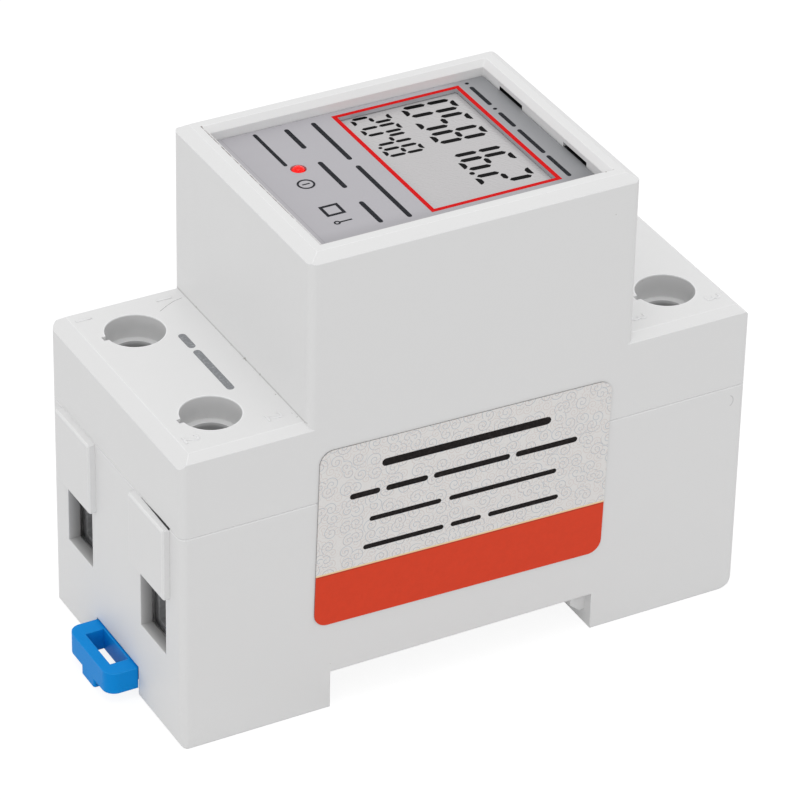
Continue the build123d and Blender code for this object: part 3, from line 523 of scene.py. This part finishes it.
def plate_material():
    """Silvery grey film with a satin grain, a little dirt where it meets the rim, and painted shade toward
    its far end, along the front rim and in the tab slots.
    """
    made, w, shader = new_material("Display plate")
    x, y, z = w.split(w.millimetres())
    skin = w.effect(MOULDED_SKIN, grain=0.16, unevenness=0.03)
    # Painted shade: the plate grows darker toward its far end, as the reflection falls off
    far_end_shade = w.ramp(x, 12.0, 18.6)
    body = w.mix(far_end_shade, colour(179, 177, 182), colour(142, 143, 146))
    body = w.shade(body, skin["Tone"])
    # Painted shade: darker toward the front rim, where the rim's shadow falls
    body = w.shade(body, w.ramp(y, PLATE_SEEN_Y + 2.4, PLATE_SEEN_Y, start=1.0, end=0.88))
    # Painted shade inside the tab slots
    body = w.mix(tab_slot_shade(w, x, y, z), body, SLOT_SHADE_TINT)
    crumbs = w.noise(w.joined(0.0, y, 0.0), scale=0.55, detail=3.0, roughness=0.7)
    edge_dirt = w.ramp(x, PLATE_LOW_X + 0.3, PLATE_LOW_X + 0.1)
    dirt = w.product(edge_dirt, w.ramp(crumbs, 0.42, 0.6), 0.7)
    body = w.mix(dirt, body, colour(120, 92, 84))
    # A faint darker line on the plate, just inside the edge of the rim
    plate_dark_line = w.between(x, PLATE_SEEN_X + 0.42, PLATE_SEEN_X + 0.52, blur=0.03)
    body = w.mix(w.product(plate_dark_line, 0.3), body, colour(110, 108, 112))
    w.feed(shader.inputs["Base Color"], body)
    w.feed(shader.inputs["Roughness"], w.varied(skin["Sheen"], 0.36, 0.5))
    w.feed(shader.inputs["Normal"], bumped(w, skin["Height"], strength=0.35, distance=0.008))
    return made


def glass_material():
    """Liquid crystal glass over its grey reflector, with the faint slanting texture of the polariser."""
    made, w, shader = new_material("Display glass")
    x, y, z = w.split(w.millimetres())
    slant = w.math("ADD", w.product(x, 0.8), w.product(y, 0.6))
    across = w.math("SUBTRACT", w.product(y, 0.8), w.product(x, 0.6))
    threads = w.joined(w.product(slant, 6.0), w.product(across, 0.9), z)
    streaks = w.noise(threads, scale=1.0, detail=3.0)
    cloud = w.noise(w.joined(x, y, z), scale=0.11)
    tone = w.math("ADD", w.ramp(streaks, 0.25, 0.75, start=0.99, end=1.008), w.varied(cloud, -0.006, 0.006))
    w.feed(shader.inputs["Base Color"], w.shade(colour(189, 187, 188), tone))
    w.feed(shader.inputs["Roughness"], w.ramp(streaks, 0.2, 0.8, start=0.24, end=0.34))
    w.feed(shader.inputs["Normal"], bumped(w, streaks, strength=0.2, distance=0.003))
    shader.inputs["Coat Weight"].default_value = 0.35
    shader.inputs["Coat Roughness"].default_value = 0.06
    return made


def lamp_material():
    """Clear red lens of the pulse lamp, lit."""
    made, w, shader = new_material("Pulse lamp", gloss=0.2)
    swirl = w.noise(w.millimetres(), scale=2.2)
    body = w.mix(w.ramp(swirl, 0.35, 0.65), colour(240, 4, 2), colour(250, 22, 12))
    w.feed(shader.inputs["Base Color"], body)
    w.feed(shader.inputs["Roughness"], w.varied(swirl, 0.12, 0.2))
    w.feed(shader.inputs["Normal"], bumped(w, swirl, strength=0.2, distance=0.02))
    w.feed(shader.inputs["Emission Color"], body)
    shader.inputs["Emission Strength"].default_value = 0.35
    shader.inputs["Coat Weight"].default_value = 0.15
    shader.inputs["Coat Roughness"].default_value = 0.08
    return made


# The label, from its node: its middle, its tilt in degrees, how high its band reaches from the middle,
# the pale line over the band and the shadow under that line
label_low, label_high = (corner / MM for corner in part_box("side_label"))
LABEL_MIDDLE = ((label_low.x + label_high.x) / 2, (label_low.z + label_high.z) / 2)
LABEL_TILT = -1.4
LABEL_BAND = -5.2
LABEL_PALE_LINE = 0.22
LABEL_SHADOW = 0.2

# The two nets of scrolls on the label: pitch, share of the line, colour, and a seed for the net
LABEL_SCROLLS = (
    (1.9, 0.11, colour(189, 196, 204), 0.0),
    (1.3, 0.10, colour(214, 200, 195), 40.0),
)


def cloud_scrolls(w, u, v, pitch, line, seed):
    """Fine curled lines, one spiral in each cell of a loose net, as a mask."""
    place = w.joined(w.math("DIVIDE", u, pitch), w.math("DIVIDE", v, pitch), seed)
    sockets = {"Vector": place, "Scale": 1.0, "Randomness": 0.8}
    net = w.add("ShaderNodeTexVoronoi", sockets, voronoi_dimensions="2D").outputs
    offset = w.vector("SUBTRACT", place, net["Position"])
    du, dv = w.split(offset)[:2]
    draw = w.add("ShaderNodeSeparateColor", {"Color": net["Color"]}).outputs
    angle = w.math("ARCTAN2", dv, du)
    side = w.math("SIGN", w.math("SUBTRACT", draw["Red"], 0.5))
    turns = w.product(w.math("DIVIDE", angle, 2 * math.pi), side)
    windings = 3.4
    winding = w.math("MULTIPLY_ADD", net["Distance"], windings, w.math("ADD", turns, draw["Green"]))
    part = w.apart(w.math("FRACT", winding), 0.5)
    drawn = w.ramp(part, line, line * 0.45)
    inside = w.ramp(net["Distance"], 0.62, 0.5)
    return w.product(drawn, inside, 0.85)


def label_material():
    """Printed paper: cream with cloud scrolls, a pale line and an orange-red band below, and painted shade on
    its thin edges.
    """
    made, w, shader = new_material("Side label", gloss=0.25)
    x, y, z = w.split(w.millimetres())
    across = w.math("SUBTRACT", x, LABEL_MIDDLE[0])
    height = w.math("SUBTRACT", z, LABEL_MIDDLE[1])
    turn = math.radians(LABEL_TILT)
    cosine, sine = math.cos(turn), math.sin(turn)
    u = w.math("ADD", w.product(across, cosine), w.product(height, sine))
    v = w.math("SUBTRACT", w.product(height, cosine), w.product(across, sine))
    paper = w.noise(w.joined(u, v, 0.0), scale=4.0, detail=3.0)
    cream = w.mix(w.varied(paper, 0.0, 1.0), colour(232, 230, 228), colour(236, 234, 232))
    for pitch, line, ink, seed in LABEL_SCROLLS:
        cream = w.mix(cloud_scrolls(w, u, v, pitch, line, seed), cream, ink)
    mottle = w.noise(w.joined(u, v, 3.0), scale=1.2, detail=4.0, roughness=0.6)
    band = w.shade(colour(224, 63, 29), w.ramp(mottle, 0.25, 0.75, start=0.97, end=1.02))
    body = w.mix(w.ramp(v, LABEL_BAND - 0.03, LABEL_BAND + 0.03, start=1.0, end=0.0), cream, band)
    pale_line = w.between(v, LABEL_BAND, LABEL_BAND + LABEL_PALE_LINE, blur=0.03)
    body = w.mix(pale_line, body, colour(246, 216, 168))
    shadow = w.between(v, LABEL_BAND - LABEL_SHADOW, LABEL_BAND, blur=0.03)
    body = w.mix(w.product(shadow, 0.35), body, colour(120, 40, 25))
    # Painted shade on the label's thin edges, which face away from the front
    facing = w.split(w.add("ShaderNodeNewGeometry").outputs["True Normal"])[1]
    edge_shade = w.ramp(facing, -0.9, -0.5, end=0.75)
    body = w.mix(edge_shade, body, colour(110, 108, 106))
    w.feed(shader.inputs["Base Color"], body)
    w.feed(shader.inputs["Roughness"], w.varied(paper, 0.42, 0.52))
    w.feed(shader.inputs["Normal"], bumped(w, paper, strength=0.25, distance=0.006))
    return made


def metal(name, tint, dull_tint, roughness, fineness=6.0, metallic=1.0):
    """Plated or bare metal with drawn marks and duller clouds."""
    made, w, shader = new_material(name)
    edge = w.effect(SOFT_EDGE, radius=0.12)
    marks = w.effect(DRAWN_METAL, fineness=fineness)
    body = w.mix(w.ramp(marks["Sheen"], 0.2, 0.9), dull_tint, tint)
    w.feed(shader.inputs["Base Color"], w.shade(body, marks["Tone"]))
    sheen = w.ramp(marks["Sheen"], 0.0, 1.0, start=roughness + 0.12, end=roughness)
    w.feed(shader.inputs["Roughness"], sheen)
    relief = bumped(w, marks["Height"], strength=0.3, distance=0.01, normal=edge["Normal"])
    w.feed(shader.inputs["Normal"], relief)
    shader.inputs["Metallic"].default_value = metallic
    return made


def board_material():
    """Green lacquered board with paler tracks under the lacquer."""
    made, w, shader = new_material("Circuit board")
    x, y, z = w.split(w.millimetres())
    grid = w.add(
        "ShaderNodeTexVoronoi", {"Vector": w.joined(x, y, 0.0), "Scale": 0.55, "Randomness": 0.7},
        voronoi_dimensions="2D", distance="MANHATTAN", feature="F2",
    ).outputs["Distance"]
    tracks = w.between(w.math("FRACT", w.product(grid, 3.0)), 0.3, 0.62, blur=0.06)
    body = w.mix(w.product(tracks, 0.65), colour(20, 84, 46), colour(44, 124, 70))
    weave = w.noise(w.joined(x, y, z), scale=5.0)
    w.feed(shader.inputs["Base Color"], w.shade(body, w.varied(weave, 0.94, 1.05)))
    w.feed(shader.inputs["Roughness"], w.varied(weave, 0.28, 0.4))
    w.feed(shader.inputs["Normal"], bumped(w, tracks, strength=0.4, distance=0.03))
    return made


def ink_material(name, tint, worn_tint, roughness):
    """Printed ink, a little thinner in places."""
    made, w, shader = new_material(name, gloss=0.03)
    film = w.noise(w.millimetres(), scale=2.6, detail=3.0, roughness=0.65)
    w.feed(shader.inputs["Base Color"], w.mix(w.ramp(film, 0.45, 0.8), tint, worn_tint))
    w.feed(shader.inputs["Roughness"], w.varied(film, roughness, roughness + 0.1))
    w.feed(shader.inputs["Normal"], bumped(w, film, strength=0.2, distance=0.004))
    return made


# The finish of each material slot; the second colour of each moulded plastic is its painted edge highlight
FINISHES = {
    "housing": moulded_plastic(
        "Housing plastic", colour(231, 231, 231), colour(252, 252, 253), roughness=0.5, unevenness=0.012,
        marks=housing_marks_and_light,
    ),
    "plate": plate_material(),
    "display_glass": glass_material(),
    "lamp": lamp_material(),
    "clip": moulded_plastic(
        "Clip plastic", colour(5, 142, 225), colour(40, 162, 244), roughness=0.42, unevenness=0.05,
        gloss=0.1,
    ),
    "label": label_material(),
    "inner_plastic": moulded_plastic(
        "Inner plastic", colour(44, 44, 47), colour(70, 70, 74), roughness=0.45, unevenness=0.08
    ),
    # Painted highlight: the raised marks are moulded in the housing plastic but tinted a little lighter
    "raised": moulded_plastic(
        "Raised marks painted lighter", colour(235, 235, 236), colour(250, 250, 250), roughness=0.5
    ),
    "tinned_pin": metal("Tinned pins", colour(205, 205, 202), colour(170, 170, 168), roughness=0.28),
    "board": board_material(),
    "film_case": moulded_plastic(
        "Film capacitor case", colour(216, 170, 52), colour(228, 186, 80), roughness=0.4, unevenness=0.04
    ),
    "can": moulded_plastic(
        "Capacitor sleeve", colour(36, 38, 46), colour(60, 62, 72), roughness=0.3, unevenness=0.06
    ),
    "varistor_coat": moulded_plastic(
        "Varistor coat", colour(34, 84, 150), colour(56, 108, 172), roughness=0.35, unevenness=0.08,
        grain=0.5, relief=0.04,
    ),
    "copper_bar": metal("Tinned brass", colour(214, 196, 160), colour(180, 160, 124), roughness=0.3),
    "shunt_alloy": metal("Shunt alloy", colour(196, 150, 112), colour(160, 116, 84), roughness=0.34),
    "zinc_steel": metal(
        "Zinc plated steel", colour(178, 179, 181), colour(164, 165, 167), roughness=0.65, fineness=2.5,
        metallic=0.15,
    ),
}

INKS = {
    "dark": ink_material("Dark ink", colour(40, 41, 45), colour(66, 68, 73), roughness=0.45),
    "label": ink_material("Label ink", colour(34, 31, 31), colour(56, 52, 52), roughness=0.45),
    "grey": ink_material("Grey ink", colour(138, 140, 143), colour(172, 174, 176), roughness=0.5),
    "red": ink_material("Red ink", colour(214, 20, 22), colour(222, 40, 38), roughness=0.42),
    "crystal": ink_material("Dark liquid crystal", colour(6, 6, 7), colour(15, 15, 17), roughness=0.3),
    "scratch": ink_material("Scratch", colour(120, 120, 122), colour(176, 176, 177), roughness=0.6),
}


def dress_nodes():
    """Gives every CAD node the finish of its slot."""
    for subpart in frame["record"]["subparts"]:
        node = frame["nodes"][subpart["node"]]
        finish = FINISHES[subpart["material_slot"]]
        if not node.material_slots:
            node.data.materials.append(finish)
        for place in node.material_slots:
            place.material = finish


# Prints and raised marks on flat faces

def face(origin, along, up):
    """The matrix of a flat face: its prints read along the first axis and up the second."""
    along, up = Vector(along), Vector(up)
    outward = along.cross(up)
    turned = Matrix((along, up, outward)).transposed().to_4x4()
    return Matrix.Translation(Vector(origin) * MM) @ turned


def printed(name, outlines, place, finish, thickness=INK):
    """Thin solids with these outlines on a face, as one piece of the housing."""
    shape = bmesh.new()
    for outline in outlines:
        lower = [shape.verts.new((u * MM, v * MM, -thickness * MM / 2)) for u, v in outline]
        upper = [shape.verts.new((u * MM, v * MM, thickness * MM)) for u, v in outline]
        shape.faces.new(upper)
        shape.faces.new(lower[::-1])
        for i in range(len(outline)):
            j = (i + 1) % len(outline)
            shape.faces.new((lower[i], lower[j], upper[j], upper[i]))
    shape.transform(place)
    bmesh.ops.recalc_face_normals(shape, faces=shape.faces)
    mesh = bpy.data.meshes.new(name)
    shape.to_mesh(mesh)
    shape.free()
    piece = bpy.data.objects.new(name, mesh)
    bpy.context.scene.collection.objects.link(piece)
    mesh.materials.append(finish)
    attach(piece, "housing")


def bar(start, end, height, thick, corners=3):
    """Outline of a bar with round ends, from start to end at this height."""
    r = thick / 2
    outline = []
    for centre, first in ((end - r, -90), (start + r, 90)):
        for step in range(corners * 2 + 1):
            angle = math.radians(first + 180 * step / (corners * 2))
            outline.append((centre + r * math.cos(angle), height + r * math.sin(angle)))
    return outline


def rectangle(u, v, width, height):
    """Outline of a rectangle round this middle."""
    half_width, half_height = width / 2, height / 2
    return [
        (u - half_width, v - half_height), (u + half_width, v - half_height),
        (u + half_width, v + half_height), (u - half_width, v + half_height),
    ]


def round_dot(u, v, radius, corners=20):
    """Outline of a round dot."""
    steps = [2 * math.pi * i / corners for i in range(corners)]
    return [(u + radius * math.cos(a), v + radius * math.sin(a)) for a in steps]


def ring(u, v, radius, line, corners=28):
    """Outlines of the short pieces that make a ring."""
    inner = radius - line
    parts = []
    for i in range(corners):
        a, b = (2 * math.pi * k / corners for k in (i, i + 1))
        ends = [(radius, a), (radius, b), (inner, b), (inner, a)]
        parts.append([(u + r * math.cos(t), v + r * math.sin(t)) for r, t in ends])
    return parts


def square_ring(low_u, high_u, low_v, high_v, line):
    """Outlines of the four mitred sides of a rectangular frame; the line lies outside these limits."""
    inner = [(low_u, low_v), (high_u, low_v), (high_u, high_v), (low_u, high_v)]
    outer = [
        (low_u - line, low_v - line), (high_u + line, low_v - line),
        (high_u + line, high_v + line), (low_u - line, high_v + line),
    ]
    return [[outer[i], outer[(i + 1) % 4], inner[(i + 1) % 4], inner[i]] for i in range(4)]


# The lit segments of each digit: a on top, b and c at the right, d below, e and f at the left, g midway
SEGMENTS = {
    "0": "abcdef", "1": "bc", "2": "abged", "3": "abgcd", "4": "fgbc",
    "5": "afgcd", "6": "afgedc", "7": "abc", "8": "abcdefg", "9": "abcdfg",
}


def segment_outlines(digit, u, v, width, height, stroke, slant):
    """Outlines of a seven-segment digit whose lower left stroke ends at u, v."""
    half, gap, middle = stroke / 2, stroke * 0.16, height / 2
    inset, reach = half * 0.75, half * 0.9
    long_cut, short_cut, middle_cut = half, -half * 0.25, half * 0.8

    def level(y, top_cut, low_cut):
        left, right = inset + gap, width - inset - gap
        return [
            (left, y), (left + low_cut, y - reach), (right - low_cut, y - reach),
            (right, y), (right - top_cut, y + reach), (left + top_cut, y + reach),
        ]

    def upright(x, low, high):
        return [
            (x, low + gap), (x + half, low + gap + half), (x + half, high - gap - half),
            (x, high - gap), (x - half, high - gap - half), (x - half, low + gap + half),
        ]

    shapes = {
        "a": level(height, short_cut, long_cut), "d": level(0, long_cut, short_cut),
        "g": level(middle, middle_cut, middle_cut),
        "f": upright(0, middle, height), "b": upright(width, middle, height),
        "e": upright(0, 0, middle), "c": upright(width, 0, middle),
    }
    return [[(u + x + slant * y, v + y) for x, y in shapes[name]] for name in SEGMENTS[digit]]


# The two rows of the display: u and v are the left foot of the row, and the decimal point, a dot with
# this radius, follows the digit with this index and takes this much room
DISPLAY_ROWS = {
    "display_digits_upper": dict(
        digits="058162", u=-12.5, v=6.79, width=2.2, height=6.32, stroke=0.74, pitch=3.6, slant=0.062,
        point_after=4, point_room=0.52, point=0.34,
    ),
    "display_digits_lower": dict(
        digits="2048", u=-12.76, v=-0.13, width=1.66, height=4.57, stroke=0.56, pitch=2.61, slant=0.05,
        point_after=2, point_room=0.36, point=0.25,
    ),
}


def make_display_digits(place):
    """The dark digits on the display glass, one piece for each row."""
    for name, row in DISPLAY_ROWS.items():
        outlines = []
        u = row["u"]
        for index, digit in enumerate(row["digits"]):
            outlines += segment_outlines(
                digit, u, row["v"], row["width"], row["height"], row["stroke"], row["slant"]
            )
            u += row["pitch"]
            if index == row["point_after"]:
                u += row["point_room"]
                gap_middle = u - (row["pitch"] + row["point_room"] - row["width"]) / 2
                outlines.append(round_dot(gap_middle, row["v"], row["point"]))
        printed(name, outlines, place, INKS["crystal"])


# Bars on the plate: height, thickness, and the start and end of each
PLATE_BARS = (
    (16.47, 0.55, ((-14.0, -13.5), (-12.8, -7.7), (-6.9, -6.4), (-5.6, -1.7), (-0.9, 5.5), (6.2, 11.7))),
    (-5.13, 0.62, ((-13.4, -3.4), (-1.8, 11.7))),
    (-8.78, 0.62, ((-13.4, -8.2), (-4.6, 2.3), (5.9, 11.3))),
    (-12.76, 0.5, ((-14.0, -5.4),)),
)

# The ring with a stroke, the square and the tick with an eye on the plate
RING_PLACE = (-0.57, -12.62)
RING_RADIUS = 1.12
RING_LINE = 0.26
RING_STROKE = (0.22, 1.0)
SQUARE_PLACE = (6.17, -12.64)
SQUARE_HALF = 0.85
SQUARE_LINE = 0.4
TICK_PLACE = (9.06, -12.64)
TICK_STROKE = (0.26, 1.7)
TICK_RISE = 0.25
TICK_EYE_DROP = 0.85
TICK_EYE_RADIUS = 0.42
TICK_EYE_LINE = 0.22


def make_plate_prints(place):
    """The red frame round the view opening, the bars and the marks on the plate."""
    printed("plate_frame_print", square_ring(*VIEW_ALONG, *VIEW_UP, FRAME_LINE), place, INKS["red"])
    outlines = [bar(a, b, height, thick) for height, thick, words in PLATE_BARS for a, b in words]
    printed("plate_bars", outlines, place, INKS["dark"])
    u, v = RING_PLACE
    marks = ring(u, v, RING_RADIUS, RING_LINE) + [rectangle(u, v, *RING_STROKE)]
    u, v = SQUARE_PLACE
    marks += square_ring(u - SQUARE_HALF, u + SQUARE_HALF, v - SQUARE_HALF, v + SQUARE_HALF, SQUARE_LINE)
    u, v = TICK_PLACE
    marks += [rectangle(u, v + TICK_RISE, *TICK_STROKE)]
    marks += ring(u, v - TICK_EYE_DROP, TICK_EYE_RADIUS, TICK_EYE_LINE, corners=16)
    printed("plate_marks", marks, place, INKS["dark"])


# Bars on the label: height, thickness, and the start and end of each, from the middle of the label
LABEL_BARS = (
    (8.94, 1.05, ((-11.6, 11.6),)),
    (5.19, 0.78, ((-15.8, -11.7), (-10.9, -5.2), (-4.4, 6.1), (6.9, 15.5))),
    (1.34, 0.66, ((-13.0, -3.2), (-2.1, 12.8))),
    (-2.56, 0.66, ((-13.7, -2.7), (-1.7, 2.5), (3.5, 13.3))),
)


def make_label_bars():
    """The dark bars on the label, tilted with it."""
    turn = math.radians(LABEL_TILT)
    along = (math.cos(turn), 0, math.sin(turn))
    up = (-math.sin(turn), 0, math.cos(turn))
    place = face((LABEL_MIDDLE[0], label_low.y, LABEL_MIDDLE[1]), along, up)
    outlines = [bar(a, b, height, thick) for height, thick, words in LABEL_BARS for a, b in words]
    printed("label_bars", outlines, place, INKS["label"])


# Grey bars printed on the left shoulder: start and end of each, and the height and thickness of both
SHOULDER_BARS = ((-7.1, -3.6), (-3.0, 6.8))
SHOULDER_BAR_HEIGHT = -26.1
SHOULDER_BAR_THICK = 1.0

# Raised numbers beside the screw wells: text, along, up
RAISED_NUMBERS = {
    "raised_number_left_back": ("1", -15.2, -36.2),
    "raised_number_left_front": ("2", 14.4, -36.2),
    "raised_number_right_back": ("4", -15.2, 35.0),
    "raised_number_right_front": ("3", 14.4, 35.0),
    "raised_mark_left_back": ("1", -15.2, -25.4),
    "raised_mark_left_front": ("2", 14.4, -25.4),
    "raised_mark_right_front": ("3", 14.4, 24.4),
}
RAISED_SIZE = 3.0
RAISED_RELIEF = 0.07


def make_shoulder_marks(place):
    """The printed bars and the raised numbers on the shoulders."""
    outlines = [bar(a, b, SHOULDER_BAR_HEIGHT, SHOULDER_BAR_THICK) for a, b in SHOULDER_BARS]
    printed("shoulder_bars", outlines, place, INKS["grey"])
    for name, (text, u, v) in RAISED_NUMBERS.items():
        letters = bpy.data.curves.new(name, "FONT")
        letters.body = text
        letters.size = RAISED_SIZE * MM
        letters.extrude = RAISED_RELIEF * MM
        letters.align_x = "CENTER"
        letters.materials.append(FINISHES["raised"])
        piece = bpy.data.objects.new(name, letters)
        bpy.context.scene.collection.objects.link(piece)
        piece.matrix_world = place @ Matrix.Translation((u * MM, v * MM, 0))
        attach(piece, "housing")


# A hairline scratch from the foot of the nose, as points on the left shoulder: along, up
SCRATCH = ((-14.6, -22.2), (-14.35, -23.4), (-13.8, -24.6), (-12.95, -26.0))
SCRATCH_WIDTH = 0.05
SCRATCH_RELIEF = 0.005


def make_scratch(place):
    """The hairline scratch on the left shoulder, a thin strip along its points."""
    outlines = []
    for (u0, v0), (u1, v1) in zip(SCRATCH, SCRATCH[1:]):
        run = Vector((u1 - u0, v1 - v0)).normalized()
        side = Vector((-run.y, run.x)) * SCRATCH_WIDTH / 2
        outlines.append([
            (u0 - side.x, v0 - side.y), (u1 - side.x, v1 - side.y),
            (u1 + side.x, v1 + side.y), (u0 + side.x, v0 + side.y),
        ])
    printed("shoulder_scratch", outlines, place, INKS["scratch"], thickness=SCRATCH_RELIEF)


def make_prints():
    """Everything printed on the faces or raised from them."""
    plate_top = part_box("face_plate")[1].z / MM
    glass_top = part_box("lcd_glass")[1].z / MM
    reading, upward = (0, -1, 0), (1, 0, 0)
    make_plate_prints(face((0, 0, plate_top), reading, upward))
    make_display_digits(face((0, 0, glass_top), reading, upward))
    make_shoulder_marks(face((0, 0, SHOULDER_TOP), reading, upward))
    make_scratch(face((0, 0, SHOULDER_TOP), reading, upward))
    make_label_bars()


# Studio

def seen_directly(w):
    """1 for rays from the camera, from mirrors and through glass, which see the white background."""
    path = w.add("ShaderNodeLightPath").outputs
    indirect = w.math("MAXIMUM", path["Is Glossy Ray"], path["Is Transmission Ray"])
    return w.math("MAXIMUM", path["Is Camera Ray"], indirect)


def make_floor():
    """A pale floor that looks white and keeps a faint shadow under the meter."""
    level = FEET - FLOOR_GAP
    mesh = bpy.data.meshes.new("floor")
    shape = bmesh.new()
    corners = rectangle(0, 0, 2 * FLOOR_HALF, 2 * FLOOR_HALF)
    shape.faces.new([shape.verts.new((x * MM, y * MM, level * MM)) for x, y in corners])
    shape.to_mesh(mesh)
    shape.free()
    floor = bpy.data.objects.new("floor", mesh)
    bpy.context.scene.collection.objects.link(floor)
    made, w = blank_material("Floor")
    seen = seen_directly(w)
    lit_paint, seen_paint = ((grey, grey, grey, 1) for grey in (FLOOR_PAINT_LIT, FLOOR_PAINT_SEEN))
    diffuse = w.add("ShaderNodeBsdfDiffuse", {"Color": w.mix(seen, lit_paint, seen_paint)})
    glow = w.add("ShaderNodeEmission", {"Strength": w.product(seen, FLOOR_GLOW)})
    total = w.add("ShaderNodeAddShader")
    w.feed(total.inputs[0], diffuse.outputs[0])
    w.feed(total.inputs[1], glow.outputs[0])
    w.feed(w.add("ShaderNodeOutputMaterial").inputs["Surface"], total.outputs[0])
    mesh.materials.append(made)


def make_world():
    """Even white light from all round; the background looks white."""
    world = bpy.data.worlds.new("Studio")
    bpy.context.scene.world = world
    world.use_nodes = True
    world.node_tree.nodes.clear()
    w = Wiring(world.node_tree)
    level = w.math("MAXIMUM", seen_directly(w), WORLD_LIGHT)
    back = w.add("ShaderNodeBackground", {"Color": (1, 1, 1, 1), "Strength": level})
    w.feed(w.add("ShaderNodeOutputWorld").inputs["Surface"], back.outputs[0])


def make_lamp(name, place, width, power):
    """A square soft lamp that points at the meter."""
    data = bpy.data.lights.new(name, "AREA")
    data.shape = "SQUARE"
    data.size = width
    data.energy = power
    lamp = bpy.data.objects.new(name, data)
    lamp.location = place
    lamp.rotation_euler = (Vector(LAMP_TARGET) - Vector(place)).to_track_quat("-Z", "Y").to_euler()
    bpy.context.scene.collection.objects.link(lamp)


def make_camera():
    """The camera of the photograph."""
    data = bpy.data.cameras.new("camera")
    data.sensor_width = CAMERA_SENSOR
    data.lens = CAMERA_LENS
    data.clip_start, data.clip_end = CAMERA_REACH
    camera = bpy.data.objects.new("camera", data)
    camera.location = Vector(CAMERA_PLACE) * MM
    camera.rotation_euler = Euler([math.radians(a) for a in CAMERA_TURN], "XYZ")
    bpy.context.scene.collection.objects.link(camera)
    bpy.context.scene.camera = camera


def make_studio():
    """Floor, world, lamps and camera."""
    make_floor()
    make_world()
    for name, (place, width, power) in LAMPS.items():
        make_lamp(name, place, width, power)
    make_camera()
    bpy.context.scene.view_settings.view_transform = "Standard"


dress_nodes()
make_prints()
make_studio()
